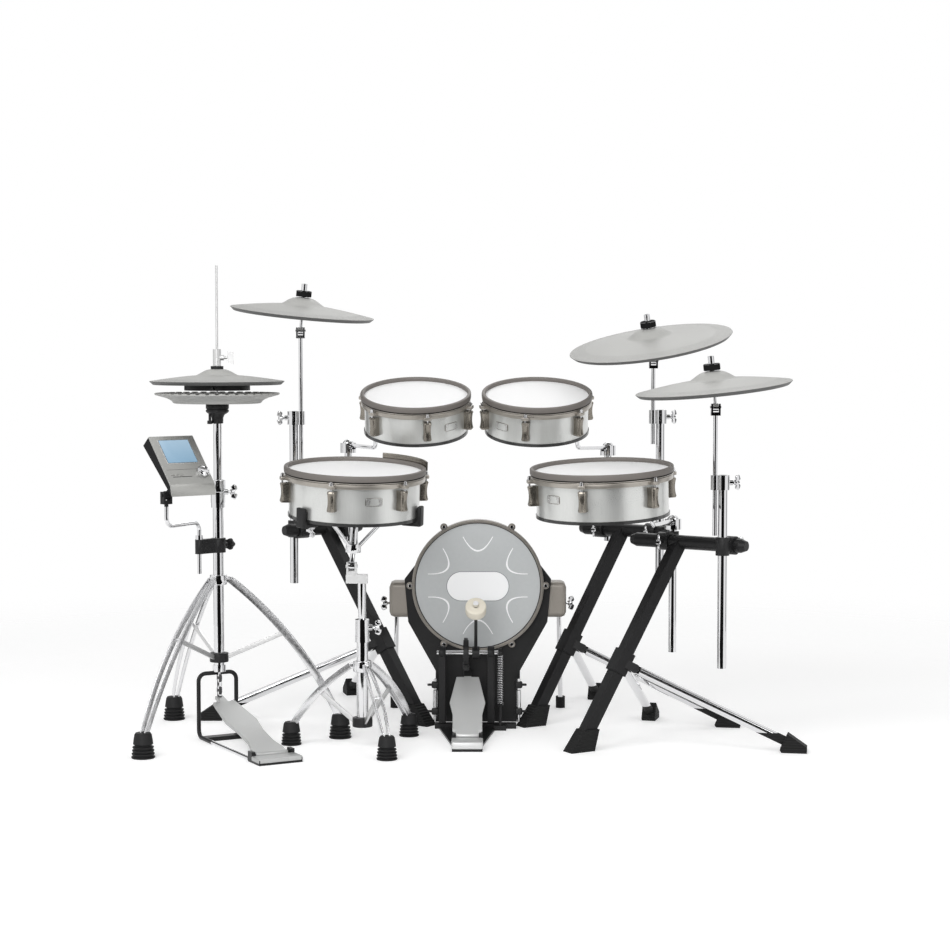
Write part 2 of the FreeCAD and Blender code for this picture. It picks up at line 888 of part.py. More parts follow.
def post_clamp(bar, along, side, radius):
    """A two-way clamp: one barrel round the bar, one round the post, a web between, a boss for its bolt."""
    on_bar = bar.centre + bar.out * float(along)
    post = bar.post_foot(along, side, radius)
    on_post = at(post.x, post.y, dim.bar_height)
    toward = bar.back * side
    bar_radius = dim.bar_diameter / 2
    half_length = float(dim.clamp_length / 2)
    half_height = float(dim.clamp_height / 2)
    barrel_start = on_bar - bar.out * half_length
    bar_barrel = disc(bar_radius + dim.clamp_wall, dim.clamp_length, barrel_start, bar.out)
    post_barrel = disc(radius + dim.clamp_wall, dim.clamp_height, on_post - UP * half_height)
    web_turn = along_frame(UP, toward)
    web_middle = (on_bar + on_post) * 0.5
    web = block((on_post - on_bar).Length, dim.clamp_length, dim.clamp_height / 2, web_middle, web_turn)
    boss_reach = bar_radius + dim.clamp_wall + dim.boss_reach
    boss = disc(dim.boss_diameter / 2, boss_reach, on_bar, -toward)
    beyond = bar.out * (half_length + 1)
    bar_hole = rod(bar_radius + dim.fit_gap, on_bar - beyond, on_bar + beyond)
    lift = UP * (half_height + 1)
    post_hole = rod(radius + dim.fit_gap, on_post - lift, on_post + lift)
    wing_bolts.append(wing_bolt(on_bar - toward * float(boss_reach), -toward))
    return cut(fuse([bar_barrel, post_barrel, web, boss]), [bar_hole, post_hole])


def wedge(outline, width, foot, level):
    """A rubber shoe: its side view stands over a foot on the floor, as wide as given to both sides."""
    normal = level.cross(UP)
    return plate(outline, width, Placement(foot - normal * float(width / 2), along_frame(normal, level)))


def hinged_brace(sleeve_centre, leg_way, foot):
    """A folding brace from a bracket to its shoe: the bracket's cheeks, the brace, the shoe.

    The brace folds in the plane of leg and brace, about a pin square to that plane."""
    reach = foot - sleeve_centre
    out = (reach - leg_way * reach.dot(leg_way)).normalize()
    eye_radius = dim.hinge_eye_diameter / 2
    offset = dim.bracket_offset + eye_radius + dim.fold_clearance
    pivot = sleeve_centre + out * float(offset)
    way = (foot - pivot).normalize()
    pin_way = leg_way.cross(way).normalize()
    half_eye = float(dim.hinge_eye_width / 2)
    turn = along_frame(way, pin_way)
    neck_length = dim.hinge_eye_diameter * 1.2
    eye = disc(eye_radius, dim.hinge_eye_width, pivot - pin_way * half_eye, pin_way)
    neck = block(dim.hinge_eye_width, dim.hinge_eye_diameter * 0.8, neck_length,
                 pivot + way * float(neck_length / 2), turn)
    stem_start = pivot + way * float(eye_radius + dim.fold_clearance)
    stem = rod(dim.side_tube_diameter / 2, stem_start, foot)
    bore = rod(dim.side_tube_diameter / 2 - dim.side_tube_wall, pivot + way * float(neck_length), foot + way)
    pin_hole = rod(dim.hinge_pin_diameter / 2 + dim.fit_gap,
                   pivot - pin_way * (half_eye + 1), pivot + pin_way * (half_eye + 1))
    brace = cut(fuse([eye, neck, stem]), [pin_hole, bore])

    level = Vector(way.x, way.y, 0).normalize()
    shoe = wedge([
        (-dim.side_shoe_base, 0),
        (dim.side_shoe_toe, 0),
        (dim.side_shoe_toe, dim.side_shoe_toe_height),
        (-dim.side_shoe_top, dim.side_shoe_height),
        (-dim.side_shoe_heel, dim.side_shoe_heel_height),
    ], dim.side_shoe_width, at(foot.x, foot.y, 0), level)
    shoe = cut(shoe, [rod(dim.side_tube_diameter / 2 + dim.fit_gap, pivot, foot)])

    cheek_gap = half_eye + float(dim.running_gap)
    cheek_back = offset - dim.leg_width / 2
    cheeks = []
    for side in (-1, 1):
        start = pivot + pin_way * side * cheek_gap
        cheeks.append(disc(eye_radius - 1, dim.hinge_cheek_width, start, pin_way * side))
        middle = start + pin_way * side * float(dim.hinge_cheek_width / 2) - out * float(cheek_back / 2)
        cheeks.append(block(dim.hinge_cheek_width, (eye_radius - 1) * 2, cheek_back, middle,
                            along_frame(out, pin_way)))
    pin_reach = cheek_gap + float(dim.hinge_cheek_width + dim.hinge_pin_overhang)
    cheeks.append(rod(dim.hinge_pin_diameter / 2, pivot - pin_way * pin_reach, pivot + pin_way * pin_reach))
    report("hinge", pivot)
    report("hinge axis", pin_way)
    return cheeks, brace, shoe


def rack_tripod(bar):
    """One tripod: a square leg with its shoe, a bracket, two folding braces and the level bar."""
    name = bar.name
    foot = at(cell(f"{name}_leg_x"), cell(f"{name}_leg_y"), dim.leg_seat)
    way = (bar.centre - foot).normalize()
    length = (bar.centre - foot).Length - 2
    level = Vector(way.x, way.y, 0).normalize()
    turn = along_frame(way, UP.cross(level))
    leg = block(dim.leg_width, dim.leg_width, length, foot + way * (length / 2), turn)
    bar_radius = dim.bar_diameter / 2
    inner = bar.centre - bar.out * float(cell(f"{name}_bar_inner"))
    outer = bar.centre + bar.out * float(cell(f"{name}_bar_outer"))
    leg = cut(leg, [rod(bar_radius + dim.fit_gap, inner, outer)])
    sleeve_hole = dim.leg_width + dim.fit_gap * 2
    shoe_lean = (dim.shoe_height - dim.leg_seat) * (way.dot(level) / way.z)
    shoe = wedge([
        (-dim.shoe_length / 2, 0),
        (dim.shoe_length / 2, 0),
        (shoe_lean + dim.shoe_top_length / 2, dim.shoe_height),
        (shoe_lean - dim.shoe_top_length / 2, dim.shoe_height),
    ], dim.shoe_width, at(foot.x, foot.y, 0), level)
    leg_space = block(sleeve_hole, sleeve_hole, length, foot + way * (length / 2), turn)
    shoe = cut(shoe, [leg_space])

    sleeve_centre = foot + (bar.centre - foot) * float(dim.bracket_rise)
    bracket = [block(dim.bracket_width, dim.bracket_width, dim.bracket_length, sleeve_centre, turn)]
    for kind in ("side", "back"):
        end = at(cell(f"{name}_{kind}_x"), cell(f"{name}_{kind}_y"), dim.side_tube_seat)
        cheeks, brace, brace_shoe = hinged_brace(sleeve_centre, way, end)
        bracket += cheeks
        node(f"{name}_{kind}_brace", group([brace, brace_shoe]))
    bracket = cut(fuse(bracket), [leg_space])

    rail = tube(bar_radius, dim.bar_wall, inner, outer)
    caps = []
    for end, out in ((inner, -bar.out), (outer, bar.out)):
        cap = doc.addObject("Part::Cone", "cap")
        bind(cap, "Radius1", bar_radius)
        bind(cap, "Radius2", bar_radius - dim.bar_wall * 2)
        bind(cap, "Height", dim.bar_cap_length)
        cap.Placement = Placement(end, Rotation(UP, out))
        caps.append(cap)
    return [leg, shoe, bracket], [rail] + caps


def fork(pivot, pin_way, down, eye_radius, eye_width, pin_radius):
    """A fork with its pin: a base below the eye and two cheeks beside it, as one solid."""
    cheek_start = float(eye_width / 2 + dim.running_gap)
    cheek = dim.fork_cheek_width
    base_top = float(eye_radius) + 2
    base_middle = pivot + down * (base_top + float(dim.fork_base_height / 2))
    turn = along_frame(-down, pin_way)
    width = (cheek_start + float(cheek)) * 2
    pieces = [block(width, dim.fork_depth, dim.fork_base_height, base_middle, turn)]
    cheek_height = base_top + float(dim.fork_base_height) + float(dim.fork_depth / 2)
    for side in (-1, 1):
        middle = pivot + pin_way * side * (cheek_start + float(cheek / 2))
        middle = middle + down * (base_top + float(dim.fork_base_height) - cheek_height / 2)
        pieces.append(block(cheek, dim.fork_depth, cheek_height, middle, turn))
    half = pin_way * (width / 2 + 2)
    pieces.append(rod(pin_radius, pivot - half, pivot + half))
    return fuse(pieces)


def fork_foot(pivot, down, eye_radius):
    """Where the bar that carries a fork meets its base."""
    return pivot + down * (float(eye_radius) + 2 + float(dim.fork_base_height))


def side_clamp(tube_foot, tube_radius, rod_foot, rod_radius, centre_z, height):
    """A clamp that holds a thin rod beside a tube: two barrels and a web."""
    low = float(centre_z) - float(height) / 2
    toward = (rod_foot - tube_foot).normalize()
    pieces = []
    holes = []
    for foot, radius in ((tube_foot, tube_radius), (rod_foot, rod_radius)):
        base = at(foot.x, foot.y, low)
        pieces.append(disc(radius + dim.clamp_wall, height, base))
        holes.append(rod(radius + dim.fit_gap, base - UP, base + UP * (float(height) + 1)))
    middle = (tube_foot + rod_foot) * 0.5
    web_centre = at(middle.x, middle.y, centre_z)
    span = (rod_foot - tube_foot).Length
    web_width = (rod_radius + dim.clamp_wall) * 1.6
    pieces.append(block(span, web_width, height, web_centre, along_frame(UP, toward)))
    on_tube = at(tube_foot.x, tube_foot.y, centre_z)
    reach = tube_radius + dim.clamp_wall + dim.boss_reach
    pieces.append(disc(dim.boss_diameter / 2, reach, on_tube, -toward))
    return cut(fuse(pieces), holes), on_tube - toward * float(reach), -toward


def cymbal(diameter, bow, bell_rise, bell_diameter, place):
    """A pad cymbal about the centre of its edge: bell, bow, bevelled edge, hollow underneath."""
    radius = diameter / 2
    hole = dim.cymbal_hole_diameter / 2
    crown = bow + bell_rise
    lower_edge = radius - dim.cymbal_edge
    bell_half = (bell_diameter + dim.bell_top_diameter) / 4
    bell_shoulder = bow + bell_rise * 0.62
    inset = dim.cymbal_thickness / 2
    return lathe([
        (hole, crown - dim.cymbal_thickness),
        (dim.bell_top_diameter / 2 - inset, crown - dim.cymbal_thickness),
        (bell_half - inset, bell_shoulder - dim.cymbal_thickness),
        (bell_diameter / 2 - inset, bow - dim.cymbal_thickness),
        (lower_edge - dim.cymbal_thickness, -dim.cymbal_thickness),
        (lower_edge - dim.cymbal_thickness, -dim.cymbal_bevel),
        (lower_edge, -dim.cymbal_bevel),
        (radius, 0),
        (bell_diameter / 2, bow),
        (bell_half, bell_shoulder),
        (dim.bell_top_diameter / 2, crown),
        (hole, crown),
    ], place)


def cymbal_arm(name, bar, along, side, rod_side, diameter):
    """A cymbal on a thin rod beside its tube: clamp, rod with fork, tilter with felts and nut, cymbal."""
    tube_radius = dim.cymbal_tube_diameter / 2
    rod_radius = dim.cymbal_rod_diameter / 2
    foot = bar.post_foot(along, side, tube_radius)
    offset = tube_radius + dim.side_clamp_web + rod_radius
    rod_foot = foot + Vector(rod_side * float(offset), 0, 0)
    top = dim.bar_height + cell(f"{name}_tube_rise")
    bottom = dim.bar_height - cell(f"{name}_tube_drop")
    post = tube(tube_radius, dim.post_wall, foot + UP * float(bottom), foot + UP * float(top))
    clamp_z = top - dim.side_clamp_height / 2
    clamp, seat, out = side_clamp(foot, tube_radius, rod_foot, rod_radius, clamp_z, dim.side_clamp_height)
    wing_bolts.append(wing_bolt(seat, out))

    turn = turned(0, 0, 0, cell(f"{name}_lean"), cell(f"{name}_roll")).Rotation
    axis = turn.multVec(UP)
    crown_under = dim.cymbal_bow + dim.bell_rise - dim.cymbal_thickness
    under = dim.tilter_neck + dim.cymbal_seat_height + dim.cymbal_play
    rise = float(under - crown_under)
    pivot_z = float(dim.bar_height + cell(f"{name}_rise")) - axis.z * rise
    pivot = at(rod_foot.x, rod_foot.y, pivot_z)
    eye_radius = dim.tilter_eye_diameter / 2
    pin_way = Vector(1, 0, 0)
    yoke = fork(pivot, pin_way, -UP, eye_radius, dim.tilter_eye_width, dim.tilter_pin_diameter / 2)
    rod_top = fork_foot(pivot, -UP, eye_radius)
    rod_bottom = rod_foot + UP * float(dim.bar_height + cell(f"{name}_rod_rise"))
    stem = rod(rod_radius, rod_bottom, rod_top)

    def on_axis(height):
        return pivot + axis * float(height)

    post_radius = dim.cymbal_post_diameter / 2
    bore = post_radius + dim.fit_gap
    half_eye = float(dim.tilter_eye_width / 2)
    eye = disc(eye_radius, dim.tilter_eye_width, pivot - pin_way * half_eye, pin_way)
    felt_bottom = under + dim.cymbal_thickness + dim.cymbal_top_play
    nut_bottom = felt_bottom + dim.cymbal_felt_height
    spindle = rod(post_radius, pivot, on_axis(nut_bottom + dim.cymbal_nut_height - 2))
    flange = disc(dim.cymbal_seat_diameter / 2, dim.tilter_flange_height,
                  on_axis(dim.tilter_neck - dim.tilter_flange_height), axis)
    pin_hole = rod(dim.tilter_pin_diameter / 2 + dim.fit_gap,
                   pivot - pin_way * (half_eye + 1), pivot + pin_way * (half_eye + 1))
    spindle = cut(fuse([eye, spindle, flange]), [pin_hole])
    felts = [collar(dim.cymbal_seat_diameter / 2, bore, dim.cymbal_seat_height, on_axis(dim.tilter_neck), axis),
             collar(dim.cymbal_felt_diameter / 2, bore, dim.cymbal_felt_height, on_axis(felt_bottom), axis)]
    nut = collar(dim.cymbal_nut_diameter / 2, bore, dim.cymbal_nut_height, on_axis(nut_bottom), axis)
    node(f"{name}_tilter", group([spindle, nut] + felts))
    node(f"{name}_cymbal", cymbal(diameter, dim.cymbal_bow, dim.bell_rise, dim.bell_diameter,
                                  Placement(on_axis(rise), turn)))
    report(f"{name} tilt pivot", pivot)
    report(f"{name} rock pivot", on_axis(under))
    return post, clamp, fuse([stem, yoke])


def bowed_strip(hip, foot, bow, aside, across):
    """A flat strip on edge that follows a bowed line from hip to foot."""
    steps = 8
    run = foot - hip
    half = dim.tripod_strip_width / 2
    lower = []
    upper = []
    for step in range(steps + 1):
        share = step / steps
        height = bow * (4 * share * (1 - share))
        lower.append((share * run.Length, height - half))
        upper.append((share * run.Length, height + half))
    corner = hip + aside + across * float(dim.tripod_strip_thickness / 2)
    turn = along_frame(across * -1, run)
    return plate(lower + upper[::-1], dim.tripod_strip_thickness, Placement(corner, turn))


def stand_tripod(name, axis_foot, tube_radius, first_angle):
    """The tripod of a stand: collars, three bowed legs of two flat strips, braces, rubber shoes."""
    collar_radius = tube_radius + dim.tripod_collar_wall
    bore = tube_radius + dim.fit_gap
    top = cell(f"{name}_leg_top")
    leg_radius = cell(f"{name}_leg_radius")
    leg_bow = cell(f"{name}_leg_bow")
    share = cell(f"{name}_brace_share")
    shoe_height = cell(f"{name}_shoe_height")
    shoe_radius = cell(f"{name}_shoe_diameter") / 2
    shoe_top_radius = cell(f"{name}_shoe_top_diameter") / 2
    collar_height = cell(f"{name}_collar_height")
    ear_width = dim.tripod_strip_spacing - dim.tripod_strip_thickness - dim.fit_gap * 2
    ear_reach = collar_radius + dim.tripod_strip_width * 0.7
    high_foot = axis_foot + UP * float(top - collar_height / 2)
    high_collar = [disc(collar_radius, collar_height, high_foot)]
    low_height = cell(f"{name}_low_collar_height")
    low_z = cell(f"{name}_low_collar_z")
    low_foot = axis_foot + UP * float(low_z - low_height / 2)
    low_collar = collar(collar_radius, bore, low_height, low_foot)
    legs = []
    for index in range(3):
        turn = Rotation(UP, float(first_angle) + 120 * index)
        out = turn.multVec(Vector(1, 0, 0))
        across = turn.multVec(Vector(0, 1, 0))

        def spot(radius, height):
            return axis_foot + out * float(radius) + UP * float(height)

        ear_middle = spot(ear_reach / 2, top)
        high_collar.append(block(ear_reach, ear_width, dim.tripod_strip_width, ear_middle, turn))
        hip = spot(ear_reach - dim.tripod_strip_width / 4, top)
        shoe = lathe([(0, 0), (shoe_radius, 0), (shoe_top_radius, shoe_height), (0, shoe_height)],
                     Placement(spot(leg_radius, 0), turn))
        foot = spot(leg_radius, shoe_height * 0.6)
        for side in (-1, 1):
            aside = across * side * float(dim.tripod_strip_spacing / 2)
            legs.append(cut(bowed_strip(hip, foot, leg_bow, aside, across), [shoe]))
        outward = (foot - hip).cross(across).normalize()
        bow = outward * float(leg_bow) * 4 * float(share) * (1 - float(share))
        knee = hip + (foot - hip) * float(share) + bow
        ankle = spot(collar_radius / 2, low_z)
        brace_way = (knee - ankle).normalize()
        brace = block(dim.tripod_brace_thickness, dim.tripod_strip_width * 0.7, (knee - ankle).Length,
                      (knee + ankle) * 0.5, along_frame(brace_way, across))
        pin_half = across * float(ear_width / 2)
        pin = rod(dim.tripod_strip_thickness, knee - pin_half, knee + pin_half)
        low_space = disc(collar_radius + dim.fit_gap, low_height, low_foot)
        legs.append(cut(fuse([brace, pin]), [low_space]))
        legs.append(shoe)
    lift = UP * float(collar_height)
    high = cut(fuse(high_collar), [rod(bore, high_foot - lift, high_foot + lift * 2)])
    node(f"{name}_tripod", group([high, low_collar] + legs))


def lock_collar(radius, bore, height, start, out):
    """A height lock on a tube: a ring with a boss and its wing bolt."""
    middle = start + UP * float(height / 2)
    reach = radius + dim.boss_reach
    ring = fuse([disc(radius, height, start), disc(dim.boss_diameter / 2, reach, middle, out)])
    wing_bolts.append(wing_bolt(middle + out * float(reach), out))
    return cut(ring, [rod(bore, start - UP, start + UP * (float(height) + 1))])


def hihat_stand():
    """The hi-hat stand: telescoping tubes, lower cymbal on its seat, pull rod with the upper cymbal."""
    foot = at(dim.hihat_x, dim.hihat_y, 0)
    outer = dim.hihat_tube_diameter / 2
    inner = dim.hihat_inner_diameter / 2
    rod_radius = dim.hihat_rod_diameter / 2
    rod_space = rod_radius + dim.running_gap

    def level(height):
        return foot + UP * float(height)

    base_height = dim.hihat_tube_bottom - dim.hihat_frame_top
    base = collar(outer + dim.hihat_lock_wall / 2, rod_space, base_height, level(dim.hihat_frame_top))
    outer_tube = tube(outer, dim.hihat_tube_wall, level(dim.hihat_tube_bottom), level(dim.hihat_tube_top))
    cap = collar(outer + dim.hihat_lock_wall / 2, inner + dim.fit_gap, dim.hihat_cap_height,
                 level(dim.hihat_tube_top))
    lock = lock_collar(inner + dim.hihat_lock_wall, inner + dim.fit_gap, dim.hihat_lock_height,
                       level(dim.hihat_tube_top + dim.hihat_cap_height), Vector(1, 0, 0))
    inner_tube = tube(inner, dim.hihat_inner_wall, level(dim.hihat_inner_bottom), level(dim.hihat_inner_top))
    node("hihat_tubes", group([base, outer_tube, inner_tube, cap, lock]))

    seat = lathe([
        (rod_space, 0),
        (dim.hihat_seat_bottom_diameter / 2, 0),
        (dim.hihat_seat_top_diameter / 2, dim.hihat_seat_height * 0.85),
        (dim.hihat_seat_top_diameter / 2, dim.hihat_seat_height),
        (rod_space, dim.hihat_seat_height),
    ], Placement(level(dim.hihat_inner_top), Rotation()))
    rim = dim.hihat_lower_cymbal_diameter / 2
    floor = dim.hihat_lower_floor_diameter / 2
    step = dim.hihat_lower_step_diameter / 2
    step_z = dim.hihat_lower_step_height
    wall = dim.hihat_cymbal_wall
    dish_z = dim.hihat_inner_top + dim.hihat_seat_height
    dish = lathe([
        (rod_space, 0),
        (floor, 0),
        (step, step_z),
        (rim, dim.hihat_lower_height),
        (rim - wall * 2, dim.hihat_lower_height),
        (step - wall / 2, step_z + wall),
        (floor - wall / 2, wall),
        (rod_space, wall),
    ], Placement(level(dish_z), Rotation()))
    node("hihat_bottom_cymbal", group([seat, dish]))

    cymbal_z = dish_z + dim.hihat_cymbal_rise
    crown = dim.hihat_bow + dim.hihat_bell_rise
    under = cymbal_z + crown - dim.cymbal_thickness
    sensor_top = cymbal_z - dim.cymbal_bevel - dim.fit_gap
    sensor_low = sensor_top - dim.hihat_sensor_height
    clutch_radius = dim.hihat_clutch_diameter / 2
    rod_fit = rod_radius + dim.fit_gap
    sensor = lathe([
        (rod_fit, sensor_low),
        (dim.hihat_sensor_diameter / 2, sensor_low),
        (dim.hihat_sensor_diameter / 2, sensor_top),
        (clutch_radius, sensor_top),
        (clutch_radius, under),
        (rod_fit, under),
    ], Placement(foot, Rotation()))
    stub_way = Vector(0, -1, 0)
    stub_start = level((sensor_low + sensor_top) / 2) + stub_way * float(dim.hihat_sensor_diameter / 2)
    stub = disc(dim.hihat_stub_diameter / 2, dim.hihat_stub_length, stub_start, stub_way)
    sensor_fit = dim.hihat_sensor_diameter / 2 + dim.fit_gap
    sensor_space = disc(sensor_fit, dim.hihat_sensor_height, level(sensor_low))
    stub = cut(stub, [sensor_space])
    top_cymbal = cymbal(dim.hihat_cymbal_diameter, dim.hihat_bow, dim.hihat_bell_rise, dim.hihat_bell_diameter,
                        Placement(level(cymbal_z), Rotation()))
    node("hihat_top_cymbal", top_cymbal)
    node("hihat_sensor", group([sensor, stub]))

    crown_z = cymbal_z + crown
    felt = collar(dim.hihat_felt_diameter / 2, rod_fit, dim.hihat_felt_height, level(crown_z))
    clutch_z = crown_z + dim.hihat_felt_height
    clutch = lock_collar(clutch_radius, rod_fit, dim.hihat_clutch_height, level(clutch_z), Vector(1, 0, 0))
    clutch_wing = wing_bolts.pop()

    turn = Rotation(UP, float(dim.hihat_pedal_turn))
    heelward = turn.multVec(Vector(1, 0, 0))
    across = turn.multVec(Vector(0, 1, 0))

    def spot(along, side, height):
        return foot + heelward * float(along) + across * float(side) + UP * float(height)

    rise = dim.hihat_board_toe_z - dim.hihat_heel_z
    run = math.sqrt(float(dim.hihat_board_length) ** 2 - float(rise) ** 2)
    heel_along = float(dim.hihat_board_toe_gap) + run
    hinge = spot(heel_along, 0, dim.hihat_heel_z)
    slope = (heelward * -run + UP * float(rise)).normalize()
    normal = slope.cross(across * -1).normalize()
    board_turn = along_frame(normal, slope)
    wide = dim.hihat_board_width / 2
    toe = dim.hihat_board_toe_width / 2
    tab = dim.hihat_board_tab_width / 2
    length = dim.hihat_board_length
    tab_end = length + dim.hihat_board_toe_gap + dim.hihat_chain_width / 2
    waist = dim.hihat_board_waist / 2
    outline = [(0, wide), (length * 0.08, wide), (length * 0.22, waist), (length * 0.42, waist),
               (length * 0.62, wide), (length, toe), (length, tab), (tab_end, tab)]
    outline += [(along, -side) for along, side in reversed(outline)]
    half_board = dim.hihat_board_thickness / 2
    board_place = Placement(hinge - normal * float(half_board), board_turn)
    board = plate(outline, dim.hihat_board_thickness, board_place)
    half_barrel = across * float(wide)
    barrel = rod(dim.hihat_hinge_barrel / 2, hinge - half_barrel, hinge + half_barrel)
    pin_space = rod(dim.hihat_hinge_pin / 2 + dim.fit_gap, hinge - half_barrel * 2, hinge + half_barrel * 2)
    node("hihat_footboard", cut(fuse([board, barrel]), [pin_space]))

    half_frame = dim.hihat_frame_width / 2
    ear_length = dim.hihat_hinge_barrel * 1.6
    frame_pieces = []
    for side in (-1, 1):
        ear_middle = spot(heel_along, side * float(half_frame), dim.hihat_heel_z * 0.85)
        frame_pieces.append(block(ear_length, dim.hihat_ear_width, dim.hihat_heel_z * 1.7, ear_middle, turn))
    heel_middle = heel_along + float(dim.hihat_hinge_barrel * 0.7 + dim.hihat_heel_length / 2)
    frame_pieces.append(block(dim.hihat_heel_length, dim.hihat_frame_width + dim.hihat_ear_width,
                              dim.hihat_heel_height, spot(heel_middle, 0, dim.hihat_heel_height / 2), turn))
    pin_end = across * float(half_frame)
    frame_pieces.append(rod(dim.hihat_hinge_pin / 2, hinge - pin_end, hinge + pin_end))
    heel = fuse(frame_pieces)
    wire_radius = dim.hihat_frame_rod / 2
    wire_end = heel_along - float(ear_length / 2)
    setback = -dim.hihat_frame_setback
    wire_top = dim.hihat_frame_top - wire_radius
    wire = bent_rod([
        spot(wire_end, -half_frame, wire_radius),
        spot(setback, -half_frame, wire_radius),
        spot(setback, -half_frame, wire_top),
        spot(setback, half_frame, wire_top),
        spot(setback, half_frame, wire_radius),
        spot(wire_end, half_frame, wire_radius),
    ], wire_radius, dim.hihat_frame_bend)
    cross_middle = spot(dim.hihat_cross_along, 0, wire_radius)
    cross = block(dim.hihat_cross_depth, dim.hihat_frame_width, dim.hihat_frame_rod, cross_middle, turn)
    node("hihat_pedal_frame", group([heel, fuse([wire, cross])]))

    toe_face = dim.hihat_heel_z + (dim.hihat_board_toe_gap + run) * (float(rise) / run)
    lift = float(half_board) / slope.dot(-heelward) + float(dim.hihat_chain_width / 2) * float(rise) / run
    chain_bottom = float(toe_face) + lift + float(dim.running_gap)
    chain_length = float(dim.hihat_rod_bottom) - chain_bottom
    chain = block(dim.hihat_chain_width, dim.hihat_chain_thickness, chain_length,
                  level(chain_bottom + chain_length / 2), turn)
    clutch_top = level(clutch_z + dim.hihat_clutch_height)
    pull = rod(rod_radius, level(dim.hihat_rod_bottom), clutch_top)
    tip = rod(dim.hihat_tip_diameter / 2, clutch_top, level(dim.hihat_rod_top))
    node("hihat_pull_rod", group([fuse([pull, tip]), chain, felt, clutch, clutch_wing]))
    report("hi-hat hinge", hinge)
    report("hi-hat hinge axis", across)
    stand_tripod("hihat", foot, outer, 0)
    return foot


def snare_stand(drum_place):
    """The snare stand: tripod, telescoping tubes, a tilting basket that grips the drum's tray."""
    foot = at(dim.snare_stand_x, dim.snare_stand_y, 0)
    outer = dim.snare_tube_diameter / 2
    inner = dim.snare_inner_diameter / 2

    def level(height):
        return foot + UP * float(height)

    outer_tube = tube(outer, dim.snare_tube_wall, level(dim.snare_tube_bottom), level(dim.snare_tube_top))
    cap = collar(outer + dim.snare_lock_wall / 2, inner + dim.running_gap, dim.snare_cap_height,
                 level(dim.snare_tube_top))
    lock = lock_collar(inner + dim.snare_lock_wall, inner + dim.running_gap, dim.snare_lock_height,
                       level(dim.snare_tube_top + dim.snare_cap_height), Vector(1, 0, 0))
    node("snare_lower_tube", group([outer_tube, cap, lock]))

    pin_way = Vector(1, 0, 0)
    pivot = level(dim.snare_inner_top + dim.snare_tilt_rise) - pin_way * float(dim.snare_tilt_offset)
    eye_radius = dim.snare_tilt_eye / 2
    pin_radius = dim.snare_tilt_pin / 2
    yoke = fork(pivot, pin_way, -UP, eye_radius, dim.snare_tilt_eye_width, pin_radius)
    arm_top = fork_foot(pivot, -UP, eye_radius).z
    arm_height = arm_top - float(dim.snare_inner_top) + float(dim.snare_yoke_height)
    arm_middle = level(arm_top - arm_height / 2) - pin_way * float(dim.snare_tilt_offset / 2)
    arm = block(dim.snare_tilt_offset + dim.snare_yoke_depth, dim.snare_yoke_depth, arm_height, arm_middle)
    inner_tube = rod(inner, level(dim.snare_inner_bottom), level(dim.snare_inner_top))
    node("snare_upper_tube", fuse([inner_tube, arm, yoke]))

    def local(x, y, z):
        return drum_place.multVec(at(x, y, z))

    axis = drum_place.Rotation.multVec(UP)
    hub_radius = dim.snare_hub_diameter / 2
    hub_low = local(0, 0, -dim.snare_hub_drop)
    hub = disc(hub_radius, dim.snare_hub_height, hub_low, axis)
    half_eye = float(dim.snare_tilt_eye_width / 2)
    eye = disc(eye_radius, dim.snare_tilt_eye_width, pivot - pin_way * half_eye, pin_way)
    stem = rod(dim.snare_stem_diameter / 2, pivot, hub_low + axis * float(dim.snare_hub_height / 2))
    pin_half = pin_way * (half_eye + 1)
    pin_hole = rod(pin_radius + dim.fit_gap, pivot - pin_half, pivot + pin_half)
    arm_half = dim.snare_arm_height / 2
    arm_z = -dim.snare_depth - dim.running_gap - arm_half
    column_radius = dim.snare_column_diameter / 2
    column = rod(column_radius, hub_low, local(0, 0, arm_z + arm_half))
    middle = cut(fuse([eye, stem, hub, column]), [pin_hole])
    tray_radius = dim.snare_shell_diameter / 2 + dim.tray_overhang
    tray_low = local(0, 0, -dim.snare_depth - dim.fit_gap)
    tray_space = disc(tray_radius + dim.fit_gap, dim.snare_depth, tray_low, axis)
    grip_height = dim.snare_grip_floor + dim.snare_grip_lip
    grip_middle = tray_radius - dim.snare_grip_depth / 2 + dim.snare_grip_floor
    grip_low = -dim.snare_depth - dim.snare_grip_floor
    arms = []
    grips = []
    for index in range(3):
        turn = Rotation(UP, float(dim.snare_arm_turn) + 120 * index)

        def spot(radius, height):
            return drum_place.multVec(turn.multVec(at(radius, 0, height)))

        arm = block(grip_middle, dim.snare_arm_width, dim.snare_arm_height, spot(grip_middle / 2, arm_z),
                    drum_place.Rotation * turn)
        link_foot = spot(hub_radius / 2, dim.snare_hub_height / 2 - dim.snare_hub_drop)
        link = rod(dim.snare_link_diameter / 2, link_foot, spot(dim.snare_link_reach, arm_z))
        arms += [arm, link]
        grip = block(dim.snare_grip_depth, dim.snare_grip_width, grip_height,
                     spot(grip_middle, grip_low + grip_height / 2), drum_place.Rotation * turn)
        grips.append(cut(grip, [tray_space, arm]))
    node("snare_basket", group([fuse([middle] + arms)] + grips))
    report("snare tilt pivot", pivot)
    stand_tripod("snare", foot, outer, dim.snare_leg_turn)


